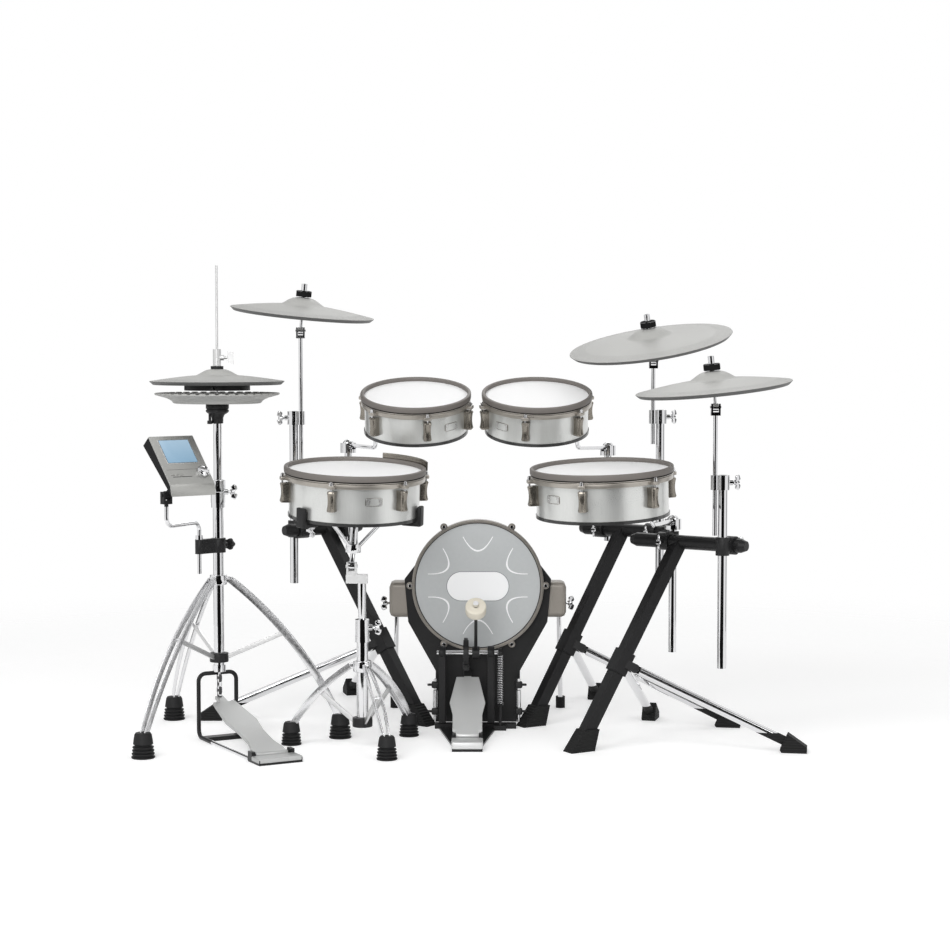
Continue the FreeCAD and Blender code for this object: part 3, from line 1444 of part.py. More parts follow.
def kick_tower():
    """The kick tower: plate, hoop with ears and bolts, head on foam, side housings, spurs."""
    face = Placement(at(dim.kick_x, dim.kick_head_y, dim.kick_z), Rotation(Vector(1, 0, 0), 90))
    toward_player = Vector(0, -1, 0)
    hoop_radius = dim.kick_hoop_diameter / 2
    head_radius = dim.kick_head_diameter / 2
    lip = head_radius - dim.kick_hoop_overlap
    hoop_back = dim.kick_lip_height - dim.kick_hoop_depth
    ring = lathe([
        (head_radius + dim.fit_gap, hoop_back),
        (hoop_radius, hoop_back),
        (hoop_radius, dim.kick_lip_height),
        (lip, dim.kick_lip_height),
        (lip, dim.fit_gap),
        (head_radius + dim.fit_gap, dim.fit_gap),
    ], face)
    ears = []
    bolts = []
    for index in range(int(float(dim.kick_ear_count))):
        turn = Rotation(UP, 360 * index / float(dim.kick_ear_count))
        ear_back = face.multVec(turn.multVec(at(hoop_radius + dim.kick_ear_reach / 2, 0,
                                                dim.kick_lip_height - dim.kick_ear_height)))
        ears.append(disc(dim.kick_ear_diameter / 2, dim.kick_ear_height, ear_back, toward_player))
        seat = face.multVec(turn.multVec(at(hoop_radius + dim.kick_ear_reach / 2, 0, dim.kick_lip_height)))
        bolts.append(disc(dim.kick_bolt_diameter / 2, dim.kick_bolt_height, seat, toward_player))
    node("kick_hoop", group([fuse([ring] + ears)] + bolts))
    head_back = -dim.kick_head_thickness
    head = lathe([(0, head_back), (head_radius, head_back), (head_radius, 0), (0, 0)], face)
    foam = lathe([(0, hoop_back), (lip, hoop_back), (lip, head_back), (0, head_back)], face)
    node("kick_head", group([head, foam]))

    plate_y = dim.kick_head_y - hoop_back
    outline = [
        (dim.kick_plate_foot, 0),
        (dim.kick_plate_foot, dim.kick_plate_foot_top),
        (dim.kick_plate_knee, dim.kick_plate_knee_z),
        (dim.kick_plate_wide, dim.kick_plate_wide_z),
        (dim.kick_plate_shoulder, dim.kick_plate_shoulder_z),
        (dim.kick_plate_top, dim.kick_plate_top_z),
    ]
    outline += [(-across, height) for across, height in reversed(outline)]
    plate_back = plate_y + dim.kick_plate_thickness
    upright = Placement(at(dim.kick_x, plate_back, 0), Rotation(Vector(1, 0, 0), 90))
    node("kick_plate", plate(outline, dim.kick_plate_thickness, upright))

    housings = []
    spurs = []
    for side in (-1, 1):
        def spot(across, y, z):
            return at(float(dim.kick_x) + side * float(across), y, z)

        width = dim.kick_housing_outer - dim.kick_housing_inner
        height = dim.kick_housing_top - dim.kick_housing_bottom
        middle_y = plate_back + dim.kick_housing_depth / 2
        middle_x = dim.kick_housing_inner + width / 2
        housing_middle = spot(middle_x, middle_y, dim.kick_housing_bottom + height / 2)
        housing = block(width, dim.kick_housing_depth, height, housing_middle)
        housings.append(housing)
        bolt_seat = spot(dim.kick_housing_outer, middle_y, dim.kick_bolt_z)
        wing_bolts.append(wing_bolt(bolt_seat, Vector(side, 0, 0)))
        tip_foot = spot(dim.kick_spur_x, dim.kick_spur_y, 0)
        tip = disc(dim.kick_spur_tip_diameter / 2, dim.kick_spur_tip_length, tip_foot)
        hip_z = dim.kick_housing_bottom + dim.kick_spur_diameter
        hip = spot(dim.kick_housing_outer - width / 4, middle_y, hip_z)
        spur = rod(dim.kick_spur_diameter / 2, hip, tip_foot + UP * float(dim.kick_spur_tip_length / 2))
        spurs.append(cut(spur, [housing, tip]))
        spurs.append(tip)
    node("kick_housings", group(housings))
    node("kick_spurs", group(spurs))


def arc_between(start, tangent, end):
    """The arc that leaves one point along a tangent and reaches another."""
    chord = end - start
    aside = tangent - chord * (tangent.dot(chord) / chord.dot(chord))
    if aside.Length < 1e-9:
        return Part.LineSegment(start, end).toShape()
    bulge = chord.Length / 2 * math.tan(tangent.getAngle(chord) / 2)
    return Part.Arc(start, (start + end) * 0.5 + aside.normalize() * bulge, end).toShape()


def helix_spring(foot, top_z):
    """A coil spring as one tube: biarcs of half a turn on a helix, with a straight tail at each end.

    Its last quarter turn passes beside the arm that it hangs from."""
    radius = float(dim.spring_diameter - dim.spring_wire) / 2
    wire = float(dim.spring_wire)
    turns = int(float(dim.spring_turns))
    low = float(dim.spring_bottom + dim.fit_gap) + wire / 2
    pitch = (float(top_z) - wire / 2 - low) / (turns - 0.25)

    def on_helix(turn):
        angle = 2 * math.pi * turn
        girth = 2 * math.pi * radius
        point = foot + Vector(radius * math.cos(angle), radius * math.sin(angle), low + pitch * turn)
        tangent = Vector(-math.sin(angle) * girth, math.cos(angle) * girth, pitch)
        return point, tangent.normalize()

    edges = []
    first, first_way = on_helix(0)
    last, last_way = on_helix(turns)
    edges.append(Part.LineSegment(first - first_way * wire, first).toShape())
    for half in range(turns * 2):
        start, start_way = on_helix(half / 2)
        end, end_way = on_helix((half + 1) / 2)
        span = end - start
        square = 2 * (1 - start_way.dot(end_way))
        linear = 2 * span.dot(start_way + end_way)
        reach = (-linear + math.sqrt(linear ** 2 + 4 * square * span.dot(span))) / (2 * square)
        joint = (start + end + (start_way - end_way) * reach) * 0.5
        edges.append(arc_between(start, start_way, joint))
        back = arc_between(end, end_way * -1, joint)
        edges.append(back)
    edges.append(Part.LineSegment(last, last + last_way * wire).toShape())
    section = Part.Wire(Part.Circle(first - first_way * wire, first_way, wire / 2).toShape())
    path = Part.Wire(Part.__sortEdges__(edges))
    item = doc.addObject("Part::Feature", "spring")
    item.Shape = path.makePipeShell([section], True, False)
    return item


def kick_pedal():
    """The kick pedal: base with heel, uprights, sprung axle with cam and beater, footboard with chain."""
    centre_x = dim.pedal_centre_x
    across = Vector(1, 0, 0)
    axle = at(0, 0, dim.pedal_axle_z)
    hinge = at(centre_x, dim.pedal_hinge_y, dim.pedal_hinge_z)
    half_heel = dim.pedal_heel_width / 2
    base_top = dim.pedal_base_thickness
    heel_front = dim.pedal_hinge_y - dim.pedal_hinge_barrel
    heel_back = heel_front - dim.pedal_heel_length
    bar_left = dim.pedal_left_x - dim.pedal_upright_width / 2 - dim.pedal_bar_overhang
    bar_right = dim.rocker_x + dim.stabiliser_reach
    half_bar = dim.pedal_bar_depth / 2

    def span(low_x, high_x, low_y, high_y, low_z, high_z):
        middle = at((low_x + high_x) / 2, (low_y + high_y) / 2, (low_z + high_z) / 2)
        return block(high_x - low_x, high_y - low_y, high_z - low_z, middle)

    ground = dim.pedal_base_thickness - dim.pedal_base_thickness
    tower_front = dim.kick_head_y + dim.kick_hoop_depth - dim.kick_lip_height - dim.fit_gap
    half_base = dim.pedal_base_width / 2
    outline = [(half_heel, heel_back), (half_heel, heel_front), (half_base, -half_bar), (half_base, half_bar),
               (half_heel, half_bar), (half_heel, tower_front)]
    outline += [(-side, along) for side, along in reversed(outline)]
    base = [plate(outline, base_top, Placement(at(centre_x, 0, 0), Rotation()))]
    base.append(span(centre_x - half_heel, centre_x + half_heel, heel_back, heel_front, ground,
                     dim.pedal_heel_height))
    base.append(span(bar_left, bar_right, -half_bar, half_bar, ground, dim.pedal_bar_height))
    spring_y = -dim.rocker_reach
    stud_radius = dim.spring_stud_diameter / 2
    base.append(span(dim.rocker_x - dim.spring_diameter, dim.rocker_x + dim.spring_diameter,
                     spring_y - dim.spring_diameter, half_bar, ground, dim.pedal_bar_height))
    stud_foot = at(dim.rocker_x, spring_y, ground)
    base.append(rod(stud_radius, stud_foot, stud_foot + UP * float(dim.spring_bottom)))
    seat_foot = stud_foot + UP * float(dim.spring_bottom - dim.spring_seat_height)
    base.append(disc(dim.spring_diameter / 2, dim.spring_seat_height, seat_foot))
    ear_top = dim.pedal_hinge_z + dim.pedal_hinge_barrel / 2
    for side in (-1, 1):
        ear_x = centre_x + (half_heel - dim.pedal_ear_width / 2) * side
        base.append(span(ear_x - dim.pedal_ear_width / 2, ear_x + dim.pedal_ear_width / 2, heel_front,
                         dim.pedal_hinge_y + dim.pedal_hinge_barrel / 2, ground, ear_top))
    pin_half = across * float(half_heel)
    base.append(rod(dim.pedal_hinge_pin / 2, hinge - pin_half, hinge + pin_half))
    node("pedal_base", fuse(base))

    uprights = []
    for upright_x in (dim.pedal_left_x, dim.pedal_right_x):
        half = dim.pedal_upright_width / 2
        half_depth = dim.pedal_upright_depth / 2
        post = span(upright_x - half, upright_x + half, -half_depth, half_depth,
                    dim.pedal_bar_height, dim.pedal_axle_z)
        bearing_start = axle + across * float(upright_x - half)
        bearing = disc(dim.pedal_bearing_diameter / 2, dim.pedal_upright_width, bearing_start, across)
        bore = rod(dim.pedal_axle_diameter / 2 + dim.fit_gap, bearing_start - across,
                   bearing_start + across * (float(dim.pedal_upright_width) + 1))
        uprights.append(cut(fuse([post, bearing]), [bore]))
    node("pedal_frame", group(uprights))

    chain_y = dim.pedal_cam_diameter / 2 + dim.running_gap + dim.pedal_chain_thickness / 2
    run = dim.pedal_board_toe_y - dim.pedal_hinge_y
    rise = dim.pedal_board_toe_z - dim.pedal_hinge_z
    length = math.hypot(float(run), float(rise))
    slope = Vector(0, float(run), float(rise)).normalize()
    normal = across.cross(slope)
    tab_end = length + float(chain_y - dim.pedal_board_toe_y + dim.pedal_chain_thickness) / slope.y
    heel_half = half_heel - dim.pedal_ear_width - dim.running_gap
    waist = dim.pedal_board_waist / 2
    wide = dim.pedal_board_wide / 2
    toe = dim.pedal_board_toe_width / 2
    tab = dim.pedal_chain_width
    outline = [(0, heel_half), (length * 0.06, heel_half), (length * 0.09, waist), (length * 0.36, waist),
               (length * 0.55, wide), (length, toe), (length, tab), (tab_end, tab)]
    outline += [(along, side * -1) for along, side in reversed(outline)]
    half_board = dim.pedal_board_thickness / 2
    board = plate(outline, dim.pedal_board_thickness,
                  Placement(hinge - normal * float(half_board), along_frame(normal, slope)))
    barrel_half = across * float(heel_half)
    barrel = rod(dim.pedal_hinge_barrel / 2, hinge - barrel_half, hinge + barrel_half)
    pin_space = rod(dim.pedal_hinge_pin / 2 + dim.fit_gap, hinge - barrel_half * 2, hinge + barrel_half * 2)
    board = cut(fuse([board, barrel]), [pin_space])
    half_chain = dim.pedal_chain_width / 2
    chain = span(dim.pedal_cam_x - half_chain, dim.pedal_cam_x + half_chain,
                 chain_y - dim.pedal_chain_thickness / 2, chain_y + dim.pedal_chain_thickness / 2,
                 dim.pedal_board_toe_z, dim.pedal_axle_z - dim.running_gap)
    node("pedal_footboard", group([board, cut(chain, [board])]))

    axle_start = across * float(dim.pedal_left_x - dim.pedal_upright_width / 2 - dim.axle_overhang) + axle
    axle_end = across * float(dim.rocker_x + dim.rocker_width / 2) + axle
    shaft = rod(dim.pedal_axle_diameter / 2, axle_start, axle_end)
    cam_radius = dim.pedal_cam_diameter / 2
    cam_start = axle + across * float(dim.pedal_cam_x - dim.pedal_cam_width / 2)
    cam = disc(cam_radius, dim.pedal_cam_width, cam_start, across)
    wrap_start = axle + across * float(dim.pedal_cam_x - half_chain)
    wrap = disc(cam_radius + dim.pedal_chain_thickness, dim.pedal_chain_width, wrap_start, across)
    below = dim.pedal_cam_diameter * 2
    under = block(below, below, below, axle + across * float(dim.pedal_cam_x) - UP * float(below / 2))
    wrap = cut(wrap, [under])
    hub_start = axle + across * float(dim.pedal_hub_x - dim.pedal_hub_width / 2)
    hub = disc(dim.pedal_hub_diameter / 2, dim.pedal_hub_width, hub_start, across)
    rocker_start = axle + across * float(dim.rocker_x - dim.rocker_width / 2)
    rocker_hub = disc(dim.pedal_axle_diameter, dim.rocker_width, rocker_start, across)
    half_rocker = dim.rocker_width / 2
    rocker = span(dim.rocker_x - half_rocker, dim.rocker_x + half_rocker,
                  -dim.rocker_reach - dim.rocker_height / 2, dim.running_gap,
                  dim.pedal_axle_z - dim.rocker_height / 2, dim.pedal_axle_z + dim.rocker_height / 2)
    lean = math.radians(float(dim.beater_lean))
    way = Vector(0, -math.sin(lean), math.cos(lean))
    hub_centre = axle + across * float(dim.pedal_hub_x)

    def on_rod(height):
        return hub_centre + way * float(height)

    felt_low = dim.beater_rod_length
    felt_top = felt_low + dim.beater_length
    stick = rod(dim.beater_rod_diameter / 2, hub_centre, on_rod(felt_top))
    flange = disc(dim.beater_flange_diameter / 2, dim.beater_flange_height,
                  on_rod(felt_low - dim.beater_flange_height), way)
    nut = disc(dim.beater_nut_diameter / 2, dim.beater_nut_height, on_rod(felt_top), way)
    felt = collar(dim.beater_diameter / 2, dim.beater_rod_diameter / 2 + dim.fit_gap, dim.beater_length,
                  on_rod(felt_low), way)
    node("pedal_axle", fuse([shaft, cam, wrap, hub, rocker_hub, rocker, stick, flange, nut]))
    node("pedal_beater", felt)
    spring_top = dim.pedal_axle_z - dim.rocker_height / 2 - dim.running_gap
    node("pedal_spring", helix_spring(at(dim.rocker_x, spring_y, 0), spring_top))


def sound_module(hihat_foot):
    """The sound module on a bent arm, which a clamp holds beside the hi-hat tube."""
    yaw = math.radians(float(dim.module_turn))
    pitch = math.radians(float(dim.module_lean))
    facing = Vector(math.sin(yaw) * math.cos(pitch), -math.cos(yaw) * math.cos(pitch), math.sin(pitch))
    across = Vector(math.cos(yaw), math.sin(yaw), 0)
    turn = along_frame(facing, across)
    centre = at(dim.module_x, dim.module_y, dim.module_z)

    def spot(x, y, z):
        return centre + turn.multVec(at(x, y, z))

    half = dim.module_thickness / 2
    face_z = half - dim.module_face_thickness
    half_length = dim.module_length / 2
    foot_z = half - dim.module_foot_thickness
    lip_start = dim.module_lip_length - half_length
    lip_foot = -half_length - dim.module_face_thickness
    up_face = turn.multVec(Vector(0, 1, 0))
    side_place = Placement(spot(-dim.module_width / 2, 0, 0), Rotation(up_face, facing, across, "XYZ"))
    case = plate([(-half_length, foot_z), (half_length, -half), (half_length, face_z), (lip_start, face_z)],
                 dim.module_width, side_place)
    face = plate([(half_length, face_z), (half_length, half), (lip_start, half), (lip_foot, foot_z),
                  (-half_length, foot_z), (lip_start, face_z)], dim.module_width, side_place)
    screen_y = dim.module_length * 0.215
    screen = block(dim.module_screen_width, dim.module_screen_length, dim.module_screen_thickness,
                   spot(0, screen_y, half + dim.module_screen_thickness / 2), turn)
    buttons = []
    for column in range(3):
        button_x = dim.module_button_size * (1.7 * column) - dim.module_width * 0.36
        button_spot = spot(button_x, -dim.module_length * 0.2, half + dim.module_button_height / 2)
        buttons.append(block(dim.module_button_size, dim.module_button_size * 0.6,
                             dim.module_button_height, button_spot, turn))
    dial = disc(dim.module_dial_diameter / 2, dim.module_dial_height,
                spot(dim.module_width * 0.34, -dim.module_length * 0.175, half + dim.fit_gap), facing)
    node("module_face", group([face, screen] + buttons))
    node("module_dial", dial)

    pivot = at(dim.arm_top_x, dim.arm_top_y, dim.arm_top_z)
    eye_radius = dim.module_eye_diameter / 2
    half_eye = float(dim.module_eye_width / 2)
    pin_radius = dim.module_pin_diameter / 2
    eye = disc(eye_radius, dim.module_eye_width, pivot - across * half_eye, across)
    inside = (centre - pivot).dot(facing)
    stem = rod(dim.module_stem_diameter / 2, pivot, pivot + facing * inside)
    pin_half = across * float(dim.module_eye_width)
    pin_hole = rod(pin_radius + dim.fit_gap, pivot - pin_half, pivot + pin_half)
    node("module_case", cut(fuse([case, stem, eye]), [pin_hole]))

    clamp_foot = at(dim.arm_clamp_x, dim.arm_clamp_y, 0)
    arm_radius = dim.arm_diameter / 2
    yoke = fork(pivot, across, -UP, eye_radius, dim.module_eye_width, pin_radius)
    arm_top = fork_foot(pivot, -UP, eye_radius)
    elbow = at(pivot.x, pivot.y, dim.arm_elbow_z)
    shoulder = at(clamp_foot.x, clamp_foot.y, dim.arm_elbow_z)
    bottom = at(clamp_foot.x, clamp_foot.y, dim.arm_bottom_z)
    wire = bent_rod([arm_top, elbow, shoulder, bottom], arm_radius, dim.arm_bend)
    clamp_top = dim.arm_clamp_z + dim.arm_clamp_height / 2
    ring_foot = clamp_foot + UP * float(clamp_top + dim.fit_gap)
    ring = disc(dim.arm_collar_diameter / 2, dim.arm_collar_height, ring_foot)
    node("module_arm", fuse([wire, yoke, ring]))

    tube_radius = dim.hihat_tube_diameter / 2
    clamp, seat, out = side_clamp(hihat_foot, tube_radius, clamp_foot, arm_radius + dim.fit_gap,
                                  dim.arm_clamp_z, dim.arm_clamp_height)
    knob_seat = seat + out * float(dim.wing_shank_length)
    knob = fuse([disc(dim.wing_shank_diameter / 2, dim.wing_shank_length, seat, out),
                 disc(dim.knob_diameter / 2, dim.knob_height, knob_seat, out)])
    wing_bolts.append(knob)
    report("module tilt", pivot)
    report("module tilt axis", across)
    report("dial", dial.Placement.Base)
    report("dial axis", facing)
    return clamp


def rack():
    """The three tripods with their posts, toms, floor tom and cymbals; gives their clamps."""
    bars = {"left": RackBar("left", -1), "rear": RackBar("rear", 1), "front": RackBar("front", 1)}
    legs = []
    rails = []
    for bar in bars.values():
        leg, rail = rack_tripod(bar)
        legs += leg
        rails += rail
    posts = []
    clamps = []
    cymbal_rods = []
    toms = [
        ("tom_1", "left", dim.tom_1_post_along, -1, -1, dim.tom_post_drop),
        ("tom_2", "rear", dim.tom_2_post_along, 1, 1, dim.tom_post_drop),
        ("floor_tom", "front", dim.floor_tom_post_along, 1, 1, dim.floor_tom_post_drop),
    ]
    for name, bar_name, along, side, outward, post_drop in toms:
        bar = bars[bar_name]
        kind = "floor_tom" if name == "floor_tom" else "tom"
        height = cell(f"{kind}_depth")
        roll = dim.floor_tom_roll if kind == "floor_tom" else 0
        rim_height = dim.bar_height + cell(f"{kind}_rise")
        place = turned(cell(f"{name}_x"), cell(f"{kind}_y"), rim_height, cell(f"{kind}_lean"), roll)
        shell = cell(f"{kind}_shell_diameter")
        rim = shell + cell(f"{kind}_rim_overhang") * 2
        drum_pad(name, rim, shell, height, place, cell(f"{name}_lug_angle"), cell(f"{name}_badge_angle"))
        post_radius = dim.post_diameter / 2
        foot = bar.post_foot(along, side, post_radius)
        centre = foot + UP * float(dim.bar_height + cell(f"{name}_ball_rise"))
        bend = tom_rod(name, place, height, outward, cell(f"{kind}_rod_seat_reach"),
                       cell(f"{kind}_rod_seat_back"), cell(f"{kind}_rod_drop"), centre)
        posts.append(ball_socket(centre, bend))
        post_top = centre - UP * float(dim.ball_diameter / 2 + dim.socket_wall)
        post_bottom = foot + UP * float(dim.bar_height - post_drop)
        posts.append(tube(post_radius, dim.post_wall, post_bottom, post_top))
        clamps.append(post_clamp(bar, along, side, post_radius))
        report(f"{name} ball", centre)
    cymbals = [
        ("crash_left", "left", dim.crash_left_along, 1, 1, dim.crash_diameter),
        ("ride", "rear", dim.ride_along, 1, -1, dim.ride_diameter),
        ("crash_right", "front", dim.crash_right_along, -1, -1, dim.crash_diameter),
    ]
    for name, bar_name, along, side, rod_side, diameter in cymbals:
        bar = bars[bar_name]
        post, clamp, thin_rod = cymbal_arm(name, bar, along, side, rod_side, diameter)
        posts.append(post)
        cymbal_rods += [thin_rod, clamp]
        clamps.append(post_clamp(bar, along, side, dim.cymbal_tube_diameter / 2))
    node("rack_legs", group(legs))
    node("rack_bars", group(rails))
    node("rack_posts", group(posts))
    node("cymbal_rods", group(cymbal_rods))
    return clamps


tube_clamps = rack()
snare_place = turned(dim.snare_x, dim.snare_y, dim.snare_z, dim.snare_lean, dim.snare_roll)
snare_rim = dim.snare_shell_diameter + dim.snare_rim_overhang * 2
drum_pad("snare", snare_rim, dim.snare_shell_diameter, dim.snare_depth, snare_place,
         dim.snare_lug_angle, dim.snare_badge_angle, [side_rim_bar(snare_rim, snare_place)])
snare_stand(snare_place)
tube_clamps.append(sound_module(hihat_stand()))
kick_tower()
kick_pedal()
node("tube_clamps", group(tube_clamps))
node("wing_bolts", group(wing_bolts))

doc.recompute()
faults = [item.Label for item in doc.Objects if "Invalid" in item.State or "Error" in item.State]
faults += [item.Label for item in nodes if item.Shape.isNull() or not item.Shape.isValid()]
if faults:
    raise RuntimeError(f"these pieces failed: {faults}")
os.makedirs("parts", exist_ok=True)
for item in nodes:
    item.Shape.exportStep(f"parts/{item.Label}.step")
print(len(nodes), "sub-parts")
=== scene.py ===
"""Electronic drum kit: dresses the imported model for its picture. Lengths are in metres."""
import math
import bmesh
import bpy
import numpy as np
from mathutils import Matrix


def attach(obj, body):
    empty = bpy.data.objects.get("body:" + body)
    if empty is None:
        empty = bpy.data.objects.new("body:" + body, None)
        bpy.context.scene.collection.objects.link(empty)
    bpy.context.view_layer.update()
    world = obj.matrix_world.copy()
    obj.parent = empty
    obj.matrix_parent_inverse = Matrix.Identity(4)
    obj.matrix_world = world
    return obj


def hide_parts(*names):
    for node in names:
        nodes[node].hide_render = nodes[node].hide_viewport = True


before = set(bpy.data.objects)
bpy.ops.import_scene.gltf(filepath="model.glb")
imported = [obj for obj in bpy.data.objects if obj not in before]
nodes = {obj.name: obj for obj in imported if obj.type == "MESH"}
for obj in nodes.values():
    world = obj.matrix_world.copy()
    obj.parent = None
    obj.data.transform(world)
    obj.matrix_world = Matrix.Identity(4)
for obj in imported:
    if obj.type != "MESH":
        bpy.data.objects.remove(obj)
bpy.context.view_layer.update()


# It is a long lens, so the stands stay upright and the far tripods are nearly as large as the near ones.
camera_place = (0.0, -5.15, 0.936)
camera_tilt = 3.5
camera_lens = 80.34
lens_data = bpy.data.cameras.new("kit_camera")
lens_data.lens = camera_lens
lens_data.sensor_width = 36.0
kit_camera = bpy.data.objects.new("kit_camera", lens_data)
kit_camera.location = camera_place
kit_camera.rotation_euler = (math.radians(90 - camera_tilt), 0, 0)
bpy.context.scene.collection.objects.link(kit_camera)
bpy.context.scene.camera = kit_camera


# The pads: a steel shell with a vertical grain under clear lacquer, a rubber-covered hoop over a
# woven head, and six tension rods that pull the hoop's ears down to spool-shaped lugs on the shell.
pads = {
    "tom_1": {"centre": (-0.146, 0.078, 0.821), "lean": 15.5, "roll": 0.0, "rim": 0.1365, "shell": 0.127,
              "depth": 0.101, "lugs": 43.0, "badge": -46.0},
    "tom_2": {"centre": (0.153, 0.078, 0.821), "lean": 15.5, "roll": 0.0, "rim": 0.1365, "shell": 0.127,
              "depth": 0.101, "lugs": 17.0, "badge": -134.0},
    "floor_tom": {"centre": (0.290, -0.300, 0.660), "lean": 4.0, "roll": -2.0, "rim": 0.165, "shell": 0.152,
                  "depth": 0.114, "lugs": 11.0, "badge": -140.0},
    "snare": {"centre": (-0.278, -0.240, 0.656), "lean": 5.0, "roll": 1.7, "rim": 0.165, "shell": 0.152,
              "depth": 0.117, "lugs": 15.0, "badge": -70.0},
}


def turn_about(axis, degrees):
    """The matrix that turns a point about the X, Y or Z axis."""
    c, s = math.cos(math.radians(degrees)), math.sin(math.radians(degrees))
    return np.array({
        "x": [[1, 0, 0], [0, c, -s], [0, s, c]],
        "y": [[c, 0, s], [0, 1, 0], [-s, 0, c]],
        "z": [[c, -s, 0], [s, c, 0], [0, 0, 1]],
    }[axis])


def pad_turn(pad):
    """A pad leans about X towards the player, then rolls about Y to its side."""
    return turn_about("y", pad["roll"]) @ turn_about("x", pad["lean"])


def settle(points, pad, angle=0.0):
    """Points about a pad's rim centre, turned by an angle about its axis, put where the pad hangs."""
    return points @ (pad_turn(pad) @ turn_about("z", angle)).T + np.array(pad["centre"])


def rounded(corners, radius, steps=4):
    """A closed outline with soft corners: each corner becomes the parabola (1-t)2 A + 2t(1-t) P + t2 B
    between points A and B that lie at most the radius, or 0.45 of the side, away from the corner P."""
    corners = np.array(corners, float)
    before = np.roll(corners, 1, axis=0) - corners
    after = np.roll(corners, -1, axis=0) - corners
    reach_before = np.linalg.norm(before, axis=1, keepdims=True)
    reach_after = np.linalg.norm(after, axis=1, keepdims=True)
    first = corners + before / reach_before * np.minimum(radius, 0.45 * reach_before)
    last = corners + after / reach_after * np.minimum(radius, 0.45 * reach_after)
    t = np.linspace(0, 1, steps).reshape(1, -1, 1)
    curve = (1 - t) ** 2 * first[:, None] + 2 * t * (1 - t) * corners[:, None] + t ** 2 * last[:, None]
    return curve.reshape(-1, 2)


def spun(profile, count=128, start=0.0, sweep=360.0):
    """A turned surface: the profile's (radius, height) pairs carried round the Z axis, one row per angle."""
    whole = sweep >= 360
    angle = np.radians(start + np.linspace(0, sweep, count, endpoint=not whole))[:, None]
    radius, height = profile[:, 0][None], profile[:, 1][None]
    return np.stack([radius * np.cos(angle), radius * np.sin(angle), height + 0 * angle], axis=-1)


def spindle(profile, count=20):
    """A turned pin: rings of (radius, height) stacked along Z, one row per pair."""
    profile = np.array(profile, float)
    angle = np.radians(np.linspace(0, 360, count, endpoint=False))[None]
    radius, height = profile[:, 0][:, None], profile[:, 1][:, None]
    return np.stack([radius * np.cos(angle), radius * np.sin(angle), height + 0 * angle], axis=-1)


def pebble(half, soft=0.3, rows=14, columns=28):
    """A soft box: x = a c(v) c(u), y = b c(v) s(u), z = h s(v), with c and s the cosine and sine raised,
    sign kept, to a power that is 1 for an egg and near 0 for a sharp box."""
    def power(value):
        return np.sign(value) * np.abs(value) ** soft

    v = np.linspace(-math.pi / 2 + 0.03, math.pi / 2 - 0.03, rows)[:, None]
    u = np.linspace(0, 2 * math.pi, columns, endpoint=False)[None]
    return np.stack([
        half[0] * power(np.cos(v)) * power(np.cos(u)),
        half[1] * power(np.cos(v)) * power(np.sin(u)),
        half[2] * power(np.sin(v)) + 0 * u,
    ], axis=-1)


def swept(path, outline, side):
    """A bar: the outline's (side, over) pairs set up square to the path at each of its points, where side
    is the given direction made square to the path and over is square to both."""
    path = np.array(path, float)
    way = np.gradient(path, axis=0)
    way = way / np.linalg.norm(way, axis=1, keepdims=True)
    side = np.array(side, float) - way * (way @ np.array(side, float))[:, None]
    side = side / np.linalg.norm(side, axis=1, keepdims=True)
    over = np.cross(way, side)
    return path[:, None] + outline[None, :, :1] * side[:, None] + outline[None, :, 1:] * over[:, None]


def slab(low, high, soft, rows=4):
    """A box with its upright corners rounded and its top and bottom edges eased by the same size."""
    low, high = np.array(low, float), np.array(high, float)
    outline = rounded([(low[0], low[1]), (high[0], low[1]), (high[0], high[1]), (low[0], high[1])], soft * 2)
    middle = (low[:2] + high[:2]) / 2
    reach = (high[:2] - low[:2]) / 2
    ease = 1 - np.cos(np.linspace(0, math.pi / 2, rows))
    heights = np.concatenate([low[2] + soft * ease, high[2] - soft * ease[::-1]])
    inset = soft * (1 - np.sin(np.linspace(0, math.pi / 2, rows)))
    inset = np.concatenate([inset, inset[::-1]])
    rings = [middle + (outline - middle) * (1 - step / reach) for step in inset]
    levels = [np.column_stack([ring, np.full(len(ring), height)]) for ring, height in zip(rings, heights)]
    return np.stack(levels)


def skin(name, body, material, grids, loop=False, sharp=35.0):
    """One piece from grids of points. Each row is a closed ring, joined to the next row by quads;
    a loop joins the last row to the first, and otherwise a face closes each end."""
    points, faces, start = [], [], 0
    for grid in grids:
        rows, columns = grid.shape[:2]
        index = start + np.arange(rows * columns).reshape(rows, columns)
        beside = np.roll(index, -1, axis=1)
        quads = np.stack([index, beside, np.roll(beside, -1, axis=0), np.roll(index, -1, axis=0)], axis=-1)
        if loop:
            faces += quads.reshape(-1, 4).tolist()
        else:
            faces += quads[:-1].reshape(-1, 4).tolist()
            faces += [index[0][::-1].tolist(), index[-1].tolist()]
        points.append(grid.reshape(-1, 3))
        start += rows * columns
    mesh = bpy.data.meshes.new(name)
    mesh.from_pydata(np.concatenate(points).tolist(), [], faces)
    shell = bmesh.new()
    shell.from_mesh(mesh)
    bmesh.ops.recalc_face_normals(shell, faces=shell.faces)
    shell.to_mesh(mesh)
    shell.free()
    mesh.shade_smooth()
    mesh.set_sharp_from_angle(angle=math.radians(sharp))
    piece = bpy.data.objects.new(name, mesh)
    bpy.context.scene.collection.objects.link(piece)
    mesh.materials.append(material)
    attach(piece, body)
    return piece


